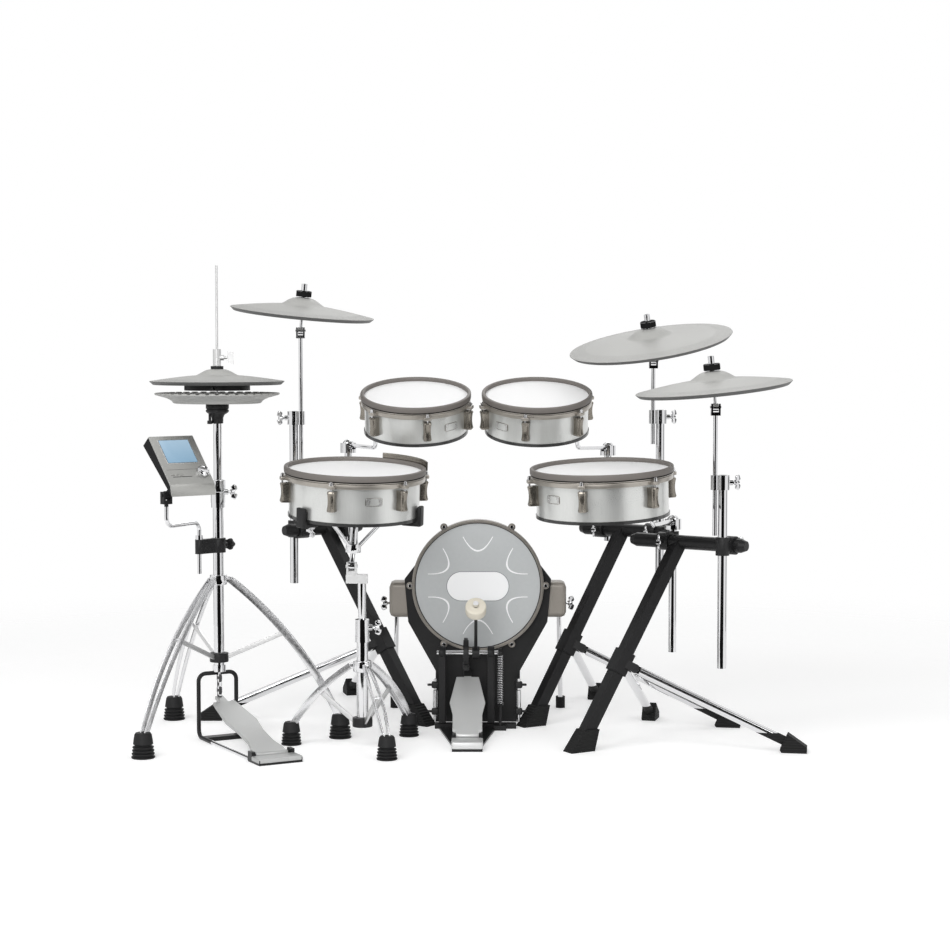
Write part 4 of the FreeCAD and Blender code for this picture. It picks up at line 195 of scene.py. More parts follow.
def grain_group():
    """Two layers of noise, cloudy and fine, that mix two colours and sway the roughness and the height."""
    group = bpy.data.node_groups.new("surface_grain", "ShaderNodeTree")
    for socket, kind, value in (
        ("Vector", "NodeSocketVector", None), ("Scale", "NodeSocketFloat", 40.0),
        ("Dark", "NodeSocketColor", (0.1, 0.1, 0.1, 1)), ("Light", "NodeSocketColor", (0.2, 0.2, 0.2, 1)),
        ("Smooth", "NodeSocketFloat", 0.3), ("Rough", "NodeSocketFloat", 0.5),
    ):
        entry = group.interface.new_socket(socket, in_out="INPUT", socket_type=kind)
        if value is not None:
            entry.default_value = value
    group.interface.new_socket("Color", in_out="OUTPUT", socket_type="NodeSocketColor")
    group.interface.new_socket("Roughness", in_out="OUTPUT", socket_type="NodeSocketFloat")
    group.interface.new_socket("Height", in_out="OUTPUT", socket_type="NodeSocketFloat")
    add = group.nodes.new
    given, result = add("NodeGroupInput"), add("NodeGroupOutput")
    cloud, fine, blend = add("ShaderNodeTexNoise"), add("ShaderNodeTexNoise"), add("ShaderNodeMix")
    cloud.inputs["Scale"].default_value = 9.0
    cloud.inputs["Detail"].default_value = 4.0
    fine.inputs["Detail"].default_value = 3.0
    blend.data_type = "RGBA"
    spread = add("ShaderNodeMapRange")
    join = group.links.new
    join(given.outputs["Vector"], cloud.inputs["Vector"])
    join(given.outputs["Vector"], fine.inputs["Vector"])
    join(given.outputs["Scale"], fine.inputs["Scale"])
    average = add("ShaderNodeMath")
    average.operation = "MULTIPLY_ADD"
    average.inputs[1].default_value = 0.5
    half = add("ShaderNodeMath")
    half.operation = "MULTIPLY"
    half.inputs[1].default_value = 0.5
    join(fine.outputs["Fac"], half.inputs[0])
    join(cloud.outputs["Fac"], average.inputs[0])
    join(half.outputs[0], average.inputs[2])
    join(average.outputs[0], blend.inputs[0])
    join(given.outputs["Dark"], blend.inputs[6])
    join(given.outputs["Light"], blend.inputs[7])
    join(average.outputs[0], spread.inputs["Value"])
    join(given.outputs["Smooth"], spread.inputs["To Min"])
    join(given.outputs["Rough"], spread.inputs["To Max"])
    spread.inputs["From Min"].default_value = 0.3
    spread.inputs["From Max"].default_value = 0.7
    join(blend.outputs[2], result.inputs["Color"])
    join(spread.outputs["Result"], result.inputs["Roughness"])
    join(fine.outputs["Fac"], result.inputs["Height"])
    return group


grain = grain_group()


class Finish:
    """A material under way: its tree, its Principled shader and its object coordinates."""

    def __init__(self, name, metallic=0.0, coat=0.0, gloss=0.5):
        self.material = bpy.data.materials.new(name)
        self.material.use_nodes = True
        self.tree = self.material.node_tree
        self.shader = self.tree.nodes["Principled BSDF"]
        self.shader.inputs["Metallic"].default_value = metallic
        self.shader.inputs["Coat Weight"].default_value = coat
        self.shader.inputs["Coat Roughness"].default_value = 0.08
        self.shader.inputs["Specular IOR Level"].default_value = gloss
        self.place = self.add("ShaderNodeTexCoord").outputs["Object"]

    def add(self, kind, **values):
        """A node with its properties set."""
        node = self.tree.nodes.new(kind)
        for key, value in values.items():
            setattr(node, key, value)
        return node

    def join(self, source, target):
        self.tree.links.new(source, target)

    def math(self, operation, first, second=None, third=None):
        """A Math node on sockets or numbers; gives its output."""
        node = self.add("ShaderNodeMath", operation=operation)
        for index, value in enumerate((first, second, third)):
            if value is None:
                continue
            if isinstance(value, (int, float)):
                node.inputs[index].default_value = value
            else:
                self.join(value, node.inputs[index])
        return node.outputs[0]

    def length(self, first, second):
        """The length of a flat vector, from its two coordinates."""
        square = self.math("MULTIPLY", first, first)
        return self.math("SQRT", self.math("MULTIPLY_ADD", second, second, square))

    def between(self, value, low, high):
        """1 where a value lies between two limits, 0 elsewhere."""
        above, below = self.math("GREATER_THAN", value, low), self.math("LESS_THAN", value, high)
        return self.math("MULTIPLY", above, below)

    def wave(self, value, length):
        """The sine along a value, with its wavelength."""
        return self.math("SINE", self.math("MULTIPLY", value, 2 * math.pi / length))

    def local(self, centre, turn):
        """Coordinates about a piece's own centre and axes."""
        mapping = self.add("ShaderNodeMapping", vector_type="TEXTURE")
        mapping.inputs["Location"].default_value = centre
        mapping.inputs["Rotation"].default_value = turn
        self.join(self.place, mapping.inputs["Vector"])
        return mapping.outputs["Vector"]

    def split(self, vector):
        """The X, Y and Z of a vector socket."""
        node = self.add("ShaderNodeSeparateXYZ")
        self.join(vector, node.inputs[0])
        return node.outputs

    def grain(self, scale, dark, light, smooth, rough, vector=None):
        """A surface_grain node with its values; gives its outputs."""
        node = self.add("ShaderNodeGroup", node_tree=grain)
        self.join(vector or self.place, node.inputs["Vector"])
        node.inputs["Scale"].default_value = scale
        node.inputs["Dark"].default_value = (*dark, 1)
        node.inputs["Light"].default_value = (*light, 1)
        node.inputs["Smooth"].default_value = smooth
        node.inputs["Rough"].default_value = rough
        return node.outputs

    def mix(self, mask, first, second):
        """The first colour where the mask is 0, the second where it is 1."""
        node = self.add("ShaderNodeMix", data_type="RGBA")
        self.join(mask, node.inputs[0])
        for value, socket in ((first, node.inputs[6]), (second, node.inputs[7])):
            if isinstance(value, tuple):
                socket.default_value = (*value, 1)
            else:
                self.join(value, socket)
        return node.outputs[2]

    def mix_value(self, mask, first, second):
        """The first number where the mask is 0, the second where it is 1."""
        node = self.add("ShaderNodeMix", data_type="FLOAT")
        self.join(mask, node.inputs[0])
        for value, socket in ((first, node.inputs[2]), (second, node.inputs[3])):
            if isinstance(value, (int, float)):
                socket.default_value = value
            else:
                self.join(value, socket)
        return node.outputs[0]

    def wear(self, colour=None, roughness=None, metallic=None, height=None, depth=0.0002):
        """Joins what changes over the surface to the shader; gives the material."""
        for value, socket in ((colour, "Base Color"), (roughness, "Roughness"), (metallic, "Metallic")):
            if value is not None:
                self.join(value, self.shader.inputs[socket])
        if height is not None:
            bump = self.add("ShaderNodeBump")
            bump.inputs["Distance"].default_value = depth
            bump.inputs["Strength"].default_value = 1.0
            self.join(height, bump.inputs["Height"])
            self.join(bump.outputs["Normal"], self.shader.inputs["Normal"])
        return self.material

    def two_part(self, mask, first, second, metals, height=None, depth=0.0002):
        """Two grains told apart by a mask, each with its own metallic value; gives the material."""
        return self.wear(
            self.mix(mask, first["Color"], second["Color"]),
            self.mix_value(mask, first["Roughness"], second["Roughness"]),
            self.mix_value(mask, *metals), height, depth,
        )


def plain_finish(name, dark, light, smooth, rough, scale=60.0, metallic=0.0, coat=0.0, depth=0.00005,
                 gloss=0.5):
    """A painted, moulded or plated surface: grain in its colour, its roughness and its relief."""
    finish = Finish(name, metallic, coat, gloss)
    outputs = finish.grain(scale, dark, light, smooth, rough)
    return finish.wear(outputs["Color"], outputs["Roughness"], height=outputs["Height"], depth=depth)


rim_rubber = plain_finish("rim_rubber", (0.125, 0.113, 0.103), (0.165, 0.150, 0.138), 0.45, 0.62, 220.0)
hoop_metal = plain_finish("hoop_metal", (0.36, 0.335, 0.30), (0.44, 0.41, 0.37), 0.26, 0.36, 300.0, 0.75, 0.2)
lug_metal = plain_finish("lug_metal", (0.22, 0.20, 0.17), (0.29, 0.265, 0.23), 0.20, 0.28, 260.0, 0.9, 0.2)
chrome = plain_finish("chrome", (0.68, 0.68, 0.69), (0.78, 0.78, 0.79), 0.03, 0.07, 90.0, 1.0, depth=0.00002)
# Near-black painted shade: laid into the crevices of the drum hoops, round the kick head just inside its
# hoop, round the module's screen and in its slots.
painted_shade_black = plain_finish("painted_shade_black", (0.006, 0.006, 0.006), (0.012, 0.012, 0.013), 0.5, 0.7, gloss=0.15)


def hung(finish, pad):
    """Coordinates about the centre and axes of a piece that leans and rolls."""
    turn = (math.radians(pad["lean"]), math.radians(pad["roll"]), 0)
    return finish.split(finish.local(pad["centre"], turn))


def shell_finish(name, pad):
    """Lacquered steel sheet: streaks along the pad's axis in colour and relief, black below the tray line."""
    finish = Finish(f"{name}_shell_steel", 0.0, 0.6)
    x, y, z = hung(finish, pad)
    angle = finish.math("ARCTAN2", y, x)
    around = finish.add("ShaderNodeCombineXYZ")
    finish.join(finish.math("MULTIPLY", angle, 60.0), around.inputs["X"])
    finish.join(finish.math("MULTIPLY", z, 6.0), around.inputs["Y"])
    streaks = finish.add("ShaderNodeTexNoise")
    streaks.inputs["Scale"].default_value = 3.0
    streaks.inputs["Detail"].default_value = 6.0
    finish.join(around.outputs[0], streaks.inputs["Vector"])
    steel = finish.grain(900.0, (0.52, 0.53, 0.52), (0.80, 0.81, 0.79), 0.24, 0.42)
    streaky = finish.mix(streaks.outputs["Fac"], (0.54, 0.55, 0.54), (0.84, 0.845, 0.82))
    colour = finish.mix(finish.math("MULTIPLY", streaks.outputs["Fac"], 0.9), streaky, steel["Color"])
    shell_bottom = 0.007 - pad["depth"]
    tray = finish.math("LESS_THAN", z, shell_bottom + 0.0003)
    return finish.wear(
        finish.mix(tray, colour, (0.009, 0.009, 0.009)),
        finish.mix_value(tray, steel["Roughness"], 0.5),
        finish.mix_value(tray, 0.75, 0.0),
        streaks.outputs["Fac"], 0.00003,
    )


def head_finish(name, pad):
    """Two-ply white mesh: a fine weave of threads in relief, slightly greyer in its holes."""
    finish = Finish(f"{name}_head_mesh")
    x, y, z = hung(finish, pad)
    thread = 0.0011
    crossing = finish.math("MULTIPLY", finish.wave(x, thread), finish.wave(y, thread))
    weave = finish.math("MULTIPLY_ADD", crossing, 0.5, 0.5)
    cloth = finish.grain(140.0, (0.92, 0.92, 0.92), (0.97, 0.97, 0.97), 0.55, 0.7)
    colour = finish.mix(finish.math("MULTIPLY", weave, 0.25), cloth["Color"], (0.76, 0.76, 0.77))
    return finish.wear(colour, cloth["Roughness"], height=weave, depth=0.00012)


rubber_profile = [(-0.009, -0.0100), (-0.009, 0.0), (0.0, 0.0), (0.0, -0.0140), (-0.005, -0.0140),
                  (-0.005, -0.0100)]
bead_profile = [(-0.005, -0.0164), (-0.0008, -0.0164), (-0.0008, -0.0184), (-0.005, -0.0184)]
gap_profile = [(-0.0055, -0.0130), (-0.0030, -0.0130), (-0.0030, -0.0210), (-0.0055, -0.0210)]
band_profile = [(-0.005, -0.0195), (-0.0015, -0.0195), (-0.0015, -0.0300), (-0.005, -0.0300)]
lug_count = 6
ear_half = (0.0085, 0.0095, 0.0042)
ear_height = -0.026
rod_reach = 0.0055
rod_profile = [(0.0022, -0.039), (0.0022, -0.022), (0.0052, -0.0218), (0.0052, -0.0200), (0.0040, -0.0198),
               (0.0040, -0.0150), (0.0030, -0.0146), (0.0028, -0.0132)]
lug_top, lug_bottom = -0.036, -0.082
badge_half_width, badge_half_height, badge_drop = 0.019, 0.0085, 0.060


def spool(pad):
    """A lug: soft square rings stacked down the shell, each narrower towards mid height, so the sides
    and the front curve inwards; the flat back lies on the shell."""
    along = np.linspace(-1, 1, 15)[:, None]
    u = np.linspace(0, 2 * math.pi, 40, endpoint=False)[None]
    waist = 0.80 + 0.20 * along ** 2
    end_round = 1 - 0.10 * np.maximum(np.abs(along) - 0.86, 0) / 0.14
    half_width = 0.0105 * waist * end_round
    depth = pad["rim"] + rod_reach + 0.006 - pad["shell"] + 0.004
    half_depth = depth / 2 * (0.86 + 0.14 * along ** 2) * end_round
    cosine, sine = np.cos(u), np.sin(u)
    out = pad["shell"] - 0.004 + half_depth * (1 + np.sign(cosine) * np.abs(cosine) ** 0.55)
    side = half_width * np.sign(sine) * np.abs(sine) ** 0.55
    height = (lug_top + lug_bottom) / 2 + (lug_top - lug_bottom) / 2 * along + 0 * u
    return np.stack([out, side, height], axis=-1)


def bent_plate(pad, half_width, half_height, drop, angle, lift):
    """A plain plate rolled to the shell's curve, with soft corners, standing proud by its lift."""
    v = np.linspace(0, 1, 6)[:, None]
    u = np.linspace(0, 2 * math.pi, 48, endpoint=False)[None]
    across = half_width * np.sign(np.cos(u)) * np.abs(np.cos(u)) ** 0.25
    up = half_height * np.sign(np.sin(u)) * np.abs(np.sin(u)) ** 0.25 - drop
    radius = pad["shell"] - 0.001 + (lift + 0.001) * np.minimum(v * 1.6, 1)
    shrink = 1 - 0.05 * np.maximum(v - 0.6, 0) / 0.4
    turn = math.radians(angle) + across * shrink / pad["shell"]
    return np.stack([radius * np.cos(turn), radius * np.sin(turn), (up + drop) * shrink - drop], axis=-1)


def dress(node, material, soften=0.0):
    """Gives a CAD node its finish; a softened node has its loose triangles joined and its edges eased."""
    piece = nodes[node]
    piece.data.materials.clear()
    piece.data.materials.append(material)
    if soften:
        joined = piece.modifiers.new("joined", "WELD")
        joined.merge_threshold = 0.00001
        eased = piece.modifiers.new("eased", "BEVEL")
        eased.width = soften
        eased.segments = 2
        eased.limit_method = "ANGLE"
        eased.angle_limit = math.radians(50)
        eased.harden_normals = True


badge_metal = plain_finish("badge_metal", (0.52, 0.52, 0.51), (0.62, 0.62, 0.61), 0.22, 0.34, 400.0, 0.8)
for name, pad in pads.items():
    dress(f"{name}_shell", shell_finish(name, pad))
    dress(f"{name}_head", head_finish(name, pad))
    rim_place = np.array([[pad["rim"], 0.0]])

    def ring(part, profile, radius, material, body=name):
        """One turned ring of the hoop."""
        outline = rounded(np.array(profile) + rim_place, radius)
        return skin(f"{body}_{part}", body, material, [settle(spun(outline), pad)], loop=True, sharp=50)

    rubber = ring("rim_rubber", rubber_profile, 0.0035, rim_rubber)
    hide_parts(f"{name}_hoop")
    # A near-black ring that shows in the crevices between the rubber, the bead and the band: painted shade.
    ring("hoop_gap_shade", gap_profile, 0.0004, painted_shade_black)
    ring("hoop_bead", bead_profile, 0.0010, hoop_metal)
    ring("hoop_band", band_profile, 0.0014, hoop_metal)
    turns = [pad["lugs"] + 360 * index / lug_count for index in range(lug_count)]
    ear = pebble(ear_half) + np.array([pad["rim"] + 0.0025, 0, ear_height])
    skin(f"{name}_ears", name, hoop_metal, [settle(ear, pad, turn) for turn in turns])
    pin = spindle(rod_profile) + np.array([pad["rim"] + rod_reach, 0, 0])
    skin(f"{name}_tension_rods", name, chrome, [settle(pin, pad, turn) for turn in turns])
    lugs = skin(f"{name}_lugs", name, lug_metal, [settle(spool(pad), pad, turn) for turn in turns])
    for part, margin, lift, material in (
        ("frame", 0.0011, 0.0011, lug_metal), ("plate", 0.0, 0.0017, badge_metal),
    ):
        plate = bent_plate(pad, badge_half_width + margin, badge_half_height + margin, badge_drop,
                           pad["badge"], lift)
        skin(f"{name}_badge_{part}", name, material, [settle(plate, pad)])

# The snare has a raised rubber bar along part of its rim, which senses clicks across the rim.
click_profile = [(0.0005, -0.0098), (0.0045, -0.0098), (0.0045, 0.012), (0.0005, 0.012)]
click_outline = rounded(np.array(click_profile) + np.array([[pads["snare"]["rim"], 0.0]]), 0.0018)
click_bar = skin("snare_click_bar", "snare", lug_metal,
                 [settle(spun(click_outline, 48, 8.0, 62.0), pads["snare"])])


# The rack: black powder-coated square legs and round bars, chromed side tubes that fold, and rubber shoes.
# Two-way clamps on the bars hold chromed posts with ball sockets; chromed wing bolts lock them.
def shod_finish(name, shoe_height, metallic, metal_grain):
    """A finish whose lowest part, up to the height of its shoe, is ribbed black rubber."""
    finish = Finish(name, metallic, gloss=0.2)
    metal = finish.grain(*metal_grain)
    x, y, z = finish.split(finish.place)
    shoe = finish.math("LESS_THAN", z, shoe_height)
    rubber = finish.grain(200.0, (0.006, 0.006, 0.006), (0.016, 0.016, 0.016), 0.6, 0.8)
    ribs = finish.math("MULTIPLY", shoe, finish.wave(z, 0.006))
    return finish.two_part(shoe, metal, rubber, (metallic, 0.0), ribs, 0.0006)


coat_dark, coat_light = (0.007, 0.007, 0.007), (0.015, 0.015, 0.016)
plate_dark, plate_light = (0.68, 0.68, 0.69), (0.78, 0.78, 0.79)
coat_grain = (240.0, coat_dark, coat_light, 0.28, 0.42)
plate_grain = (90.0, plate_dark, plate_light, 0.03, 0.08)
leg_coat = shod_finish("leg_coat", 0.0502, 0.0, (90.0, coat_dark, coat_light, 0.32, 0.45))
brace_chrome = shod_finish("brace_chrome", 0.0442, 1.0, plate_grain)
black_coat = plain_finish("black_coat", coat_dark, coat_light, 0.28, 0.42, 240.0, gloss=0.25)
black_nylon = plain_finish("black_nylon", (0.007, 0.007, 0.007), (0.014, 0.014, 0.015), 0.34, 0.5, 300.0,
                           gloss=0.3)
dress("rack_legs", leg_coat, 0.0022)
dress("rack_bars", black_coat)
dress("tube_clamps", black_nylon, 0.0012)
dress("rack_posts", chrome)
dress("cymbal_rods", chrome)


def islands(node):
    """The separate solids of a CAD node, as sets of points: corners that share a face belong together."""
    mesh = nodes[node].data
    corners = np.array([vertex.co for vertex in mesh.vertices])
    places, same = np.unique(np.round(corners, 5), axis=0, return_inverse=True)
    same = same.reshape(-1)
    label = np.arange(len(places))
    faces = [same[list(face.vertices)] for face in mesh.polygons]
    settled = False
    while not settled:
        before = label.copy()
        for face in faces:
            label[face] = label[face].min()
        settled = np.array_equal(before, label)
    return [places[label == name] for name in np.unique(label)]


def facing(shape, seat, out):
    """A shape made along Z, turned to a level way out and put on its seat, with its Y kept upright."""
    turn = np.stack([np.cross(out, (0, 0, 1)), (0, 0, 1), out], axis=1)
    return shape @ turn.T + seat


def wing_bolt(seat, out):
    """A cast wing bolt: a turned shank and hub along its way out, and two soft wings above and below it."""
    hub = spindle([(0.0034, 0.0), (0.0034, 0.006), (0.0062, 0.0065), (0.0066, 0.010), (0.0055, 0.016),
                   (0.002, 0.0172)])
    wing = pebble((0.0027, 0.0075, 0.0068), 0.55, 10, 20)
    shapes = [hub]
    for side in (-1, 1):
        tilt = turn_about("x", -24.0 * side)
        shapes.append(wing @ tilt.T + np.array([0, side * 0.0098, 0.0150]))
    return [facing(shape, seat, out) for shape in shapes]


def knob(seat, out):
    """A moulded grip knob: a disc whose edge waves five times round."""
    profile = [(0.0035, 0.0), (0.0035, 0.0085), (0.0112, 0.009), (0.0130, 0.0105), (0.0130, 0.0175),
               (0.0110, 0.0198)]
    grip = spindle(profile, 60)
    angle = np.arctan2(grip[..., 1], grip[..., 0])
    wave = np.where(grip[..., 2] > 0.0088, 1 + 0.10 * np.cos(5 * angle), 1.0)
    grip[..., :2] *= wave[..., None]
    return facing(grip, seat, out)


bolts, knobs = [], []
for points in islands("wing_bolts"):
    low, high = points.min(axis=0), points.max(axis=0)
    middle = points[np.abs(points[:, 2] - (low[2] + high[2]) / 2) < 0.0045]
    flat = middle[:, :2] - middle[:, :2].mean(axis=0)
    way = np.linalg.svd(flat)[2][0]
    shank = middle[np.argsort(middle[:, :2] @ way)]
    ends = shank[:6, :2].mean(axis=0), shank[-6:, :2].mean(axis=0)
    wing = points[points[:, 2] > high[2] - 0.002][:, :2].mean(axis=0)
    seat, tip = ends if np.linalg.norm(wing - ends[1]) < np.linalg.norm(wing - ends[0]) else ends[::-1]
    out = np.array([*(tip - seat), 0.0])
    out = out / np.linalg.norm(out)
    place = np.array([*seat, (low[2] + high[2]) / 2])
    if high[2] - low[2] > 0.028:
        bolts += wing_bolt(place, out)
    else:
        knobs.append(knob(place, out))
wing_piece = skin("clamp_wing_bolts", "base", chrome, bolts)
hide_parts("wing_bolts")
skin("clamp_knob", "base", black_nylon, knobs)
for side in ("left", "rear", "front"):
    for way in ("side", "back"):
        dress(f"{side}_{way}_brace", brace_chrome)
for name in ("tom_1", "tom_2", "floor_tom"):
    dress(f"{name}_rod", chrome)


# The cymbals: grey rubber moulded over a hard core, turned with fine rings and a dotted playing edge.
# Each hangs on a tilter's post between felts, under a round nut.
def cymbal_finish(name, cymbal):
    """Rings and dots in polar coordinates about the cymbal's own axis: rings all over, dots near the edge."""
    finish = Finish(f"{name}_rubber")
    x, y, z = hung(finish, cymbal)
    reach = finish.length(x, y)
    rings = finish.wave(reach, 0.0032)
    around = finish.math("SINE", finish.math("MULTIPLY", finish.math("ARCTAN2", y, x), 220.0))
    spots = finish.math("GREATER_THAN", finish.math("MULTIPLY", rings, around), 0.35)
    edge = finish.math("GREATER_THAN", reach, cymbal["radius"] * 0.80)
    dots = finish.math("MULTIPLY", spots, edge)
    under = finish.math("LESS_THAN", z, -0.0005)
    rubber = finish.grain(160.0, (0.36, 0.36, 0.345), (0.42, 0.42, 0.405), 0.42, 0.56)
    colour = finish.mix(finish.math("MULTIPLY", dots, 0.35), rubber["Color"], (0.2, 0.2, 0.195))
    colour = finish.mix(under, colour, (0.10, 0.10, 0.098))
    height = finish.math("SUBTRACT", finish.math("MULTIPLY", rings, 0.25), dots)
    return finish.wear(colour, rubber["Roughness"], height=height, depth=0.00025)


cymbals = {
    "crash_left": {"centre": (-0.4350, 0.2039, 1.019), "lean": 3.8, "roll": 5.7, "radius": 0.181,
                   "bow": 0.017, "bell": 0.061, "rise": 0.020, "body": "crash_left_cymbal"},
    "ride": {"centre": (0.4371, 0.1347, 0.943), "lean": 10.2, "roll": -9.4, "radius": 0.204,
             "bow": 0.017, "bell": 0.061, "rise": 0.020, "body": "ride_cymbal"},
    "crash_right": {"centre": (0.5493, -0.2679, 0.840), "lean": 2.8, "roll": -6.0, "radius": 0.181,
                    "bow": 0.017, "bell": 0.061, "rise": 0.020, "body": "crash_right_cymbal"},
    "hihat_top": {"centre": (-0.610, -0.130, 0.852), "lean": 0.0, "roll": 0.0, "radius": 0.159,
                  "bow": 0.013, "bell": 0.054, "rise": 0.015, "body": "hihat_pull"},
}


def cymbal_profile(cymbal):
    """Half a cymbal's section: a bow that falls by the power 1.25 of the share from bell to edge, a bell that
    falls by the half cosine of its share's power 1.5, an edge cut back below, and the same underneath."""
    share = np.linspace(0, 1, 24)[:, None]
    bell = np.hstack([0.0056 + (cymbal["bell"] - 0.0056) * share,
                      cymbal["bow"] + cymbal["rise"] * (0.5 + 0.5 * np.cos(math.pi * share ** 1.5))])
    bow = np.hstack([cymbal["bell"] + (cymbal["radius"] - 0.0006 - cymbal["bell"]) * share,
                     cymbal["bow"] * (1 - share ** 1.25)])
    top = np.vstack([bell, bow[1:]])
    edge = np.array([(0.0, -0.0012), (-0.0080, -0.0086), (-0.0100, -0.0090), (-0.0145, -0.0090)])
    edge[:, 0] += cymbal["radius"]
    under = top[top[:, 0] < cymbal["radius"] - 0.016][::-1] - np.array([0, 0.0042])
    return np.vstack([top, edge, under])


felt_black = plain_finish("felt_black", (0.006, 0.006, 0.006), (0.014, 0.014, 0.014), 0.8, 0.95, 500.0,
                          gloss=0.1)
felt_profile = [(0.0, 0.0), (0.0182, 0.0), (0.0194, 0.0012), (0.0194, 0.0142), (0.0182, 0.0154),
                (0.0, 0.0154)]
for name, cymbal in cymbals.items():
    rubber = cymbal_finish(name, cymbal)
    plate = settle(spun(cymbal_profile(cymbal), 160), cymbal)
    piece = skin(f"{name}_plate", cymbal["body"], rubber, [plate], loop=True, sharp=40)
    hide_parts(f"{name}_cymbal")
    if name != "hihat_top":
        dress(f"{name}_tilter", chrome)
        crown = cymbal["bow"] + cymbal["rise"] + 0.0018
        felt = settle(spindle(felt_profile, 40) + np.array([0, 0, crown]), cymbal)
        skin(f"{name}_felt", f"{name}_tilter", felt_black, [felt])


# The hi-hat stand: chromed tubes on three bowed legs of two flat strips each, a pull rod with a clutch,
# a lower cymbal that is a grey dish on a black cone, and a wire-framed pedal with a cast footboard.
boot_rubber = plain_finish("boot_rubber", (0.006, 0.006, 0.006), (0.014, 0.014, 0.015), 0.5, 0.7, 300.0,
                           gloss=0.25)
satin_steel = plain_finish("satin_steel", (0.58, 0.58, 0.58), (0.72, 0.72, 0.72), 0.30, 0.42, 150.0, 0.85)
leg_chrome = plain_finish("leg_chrome", (0.68, 0.68, 0.69), (0.84, 0.84, 0.85), 0.14, 0.24, 150.0, 1.0)
strip_outline = rounded([(-0.0015, -0.008), (0.0015, -0.008), (0.0015, 0.008), (-0.0015, 0.008)], 0.0008)
brace_outline = rounded([(-0.0025, -0.0056), (0.0025, -0.0056), (0.0025, 0.0056), (-0.0025, 0.0056)], 0.0010)
strip_spread = 0.010


def boot(radius, top_radius, height):
    """A ribbed rubber foot: four rings with grooves between them below, a smooth cone above.
    The rings' radius falls with the height as the cone's does."""
    profile = [(0.0, 0.0)]
    ring_height = height * 0.13
    for ring in range(4):
        low = ring * ring_height
        outer = radius + (top_radius - radius) * low / height
        groove = outer - 0.0052
        profile += [(outer - 0.001, low + 0.0002), (outer, low + ring_height * 0.25),
                    (outer, low + ring_height * 0.5), (groove, low + ring_height * 0.62),
                    (groove, low + ring_height * 0.95)]
    shoulder = top_radius + 0.003
    profile += [(shoulder, height * 0.56), (top_radius, height * 0.92), (top_radius - 0.003, height),
                (0.0, height)]
    return spindle(profile, 40)


def tube_ring(inner, outer, low, high, soft):
    """A turned ring with soft edges: from one radius to another, between two heights."""
    return spun(rounded([(inner, low), (outer, low), (outer, high), (inner, high)], soft), 48)


def stand_legs(body, stand):
    """Bowed legs: hip + (foot - hip) t + bow 4 t (1 - t) outwards, as two flat strips whose distance swells
    by the sine of t; braces from the low collar to the legs; collars; boots."""
    strips, braces, boots = [], [], []
    foot_axis = stand["foot"]
    at_top, at_low = foot_axis + np.array([0, 0, stand["top"]]), foot_axis + np.array([0, 0, stand["low"]])
    collar_radius = stand["tube"] + 0.008
    t = np.linspace(0, 1, 40)[:, None]
    for index in range(3):
        turn = math.radians(stand["turn"] + 120 * index)
        out = np.array([math.cos(turn), math.sin(turn), 0.0])
        across = np.array([-math.sin(turn), math.cos(turn), 0.0])
        hip = at_top + out * (collar_radius + 0.0072)
        ankle = foot_axis + out * stand["reach"] + np.array([0, 0, stand["boot"][2] * 0.75])
        bulge = np.cross(ankle - hip, across)
        bulge = bulge / np.linalg.norm(bulge)

        def leg(share):
            return hip + (ankle - hip) * share + bulge * stand["bow"] * 4 * share * (1 - share)

        for side in (-1, 1):
            gap = strip_spread * (0.55 + 0.45 * np.sin(math.pi * t ** 1.1))
            strips.append(swept(leg(t) + across * side * gap, strip_outline, across))
        low = at_low + out * collar_radius * 0.8
        knee = leg(stand["share"])
        braces.append(swept(low + (knee - low) * np.linspace(0, 1, 4)[:, None], brace_outline, across))
        pin = swept([knee - across * 0.0115, knee, knee + across * 0.0115],
                    spindle([(0.003, 0)], 12)[0, :, :2], out)
        strips.append(pin)
        ear = slab((0.0, -0.0065, -0.007), (collar_radius + 0.0105, 0.0065, 0.007), 0.0015)
        strips.append(ear @ turn_about("z", math.degrees(turn)).T + at_top)
        boots.append(boot(*stand["boot"]) + foot_axis + out * stand["reach"])
    half = stand["collar"] / 2
    high_collar = tube_ring(stand["tube"], collar_radius, -half, half, 0.002) + at_top
    low_collar = tube_ring(stand["tube"], collar_radius + 0.002, -0.011, 0.011, 0.002) + at_low
    legs = skin(f"{body}_strips", "base", leg_chrome, strips)
    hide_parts(f"{body}_tripod")
    skin(f"{body}_braces", "base", satin_steel, braces)
    skin(f"{body}_high_collar", "base", chrome, [high_collar], loop=True)
    skin(f"{body}_low_collar", "base", black_nylon, [low_collar], loop=True)
    skin(f"{body}_boots", "base", boot_rubber, boots)


hihat_axis = np.array([-0.610, -0.130, 0.0])
stand_legs("hihat", {
    "foot": hihat_axis, "tube": 0.0125, "top": 0.380, "reach": 0.288, "bow": 0.026,
    "turn": 0.0, "share": 0.42, "low": 0.194, "collar": 0.024, "boot": (0.027, 0.020, 0.058),
})
dress("hihat_tubes", chrome)
lock_collar = tube_ring(0.0126, 0.0178, 0.588, 0.618, 0.0022) + hihat_axis
skin("hihat_lock_collar", "base", chrome, [lock_collar], loop=True)
tube_cap = tube_ring(0.0126, 0.0148, 0.5525, 0.5665, 0.0010) + hihat_axis
skin("hihat_tube_cap", "base", black_nylon, [tube_cap], loop=True)
dress("hihat_sensor", black_nylon)


def banded_finish(name, outside, *bands):
    """One finish, and others between given heights: each finish is (dark, light, smooth, rough, metallic)
    and each band (low, high, finish)."""
    finish = Finish(name, gloss=0.25)
    x, y, z = finish.split(finish.place)
    outer = finish.grain(150.0, *outside[:4])
    colour, roughness, metallic = outer["Color"], outer["Roughness"], outside[4]
    for low, high, inside in bands:
        band = finish.between(z, low, high)
        inner = finish.grain(150.0, *inside[:4])
        colour = finish.mix(band, colour, inner["Color"])
        roughness = finish.mix_value(band, roughness, inner["Roughness"])
        metallic = finish.mix_value(band, metallic, inside[4])
    return finish.wear(colour, roughness, metallic)


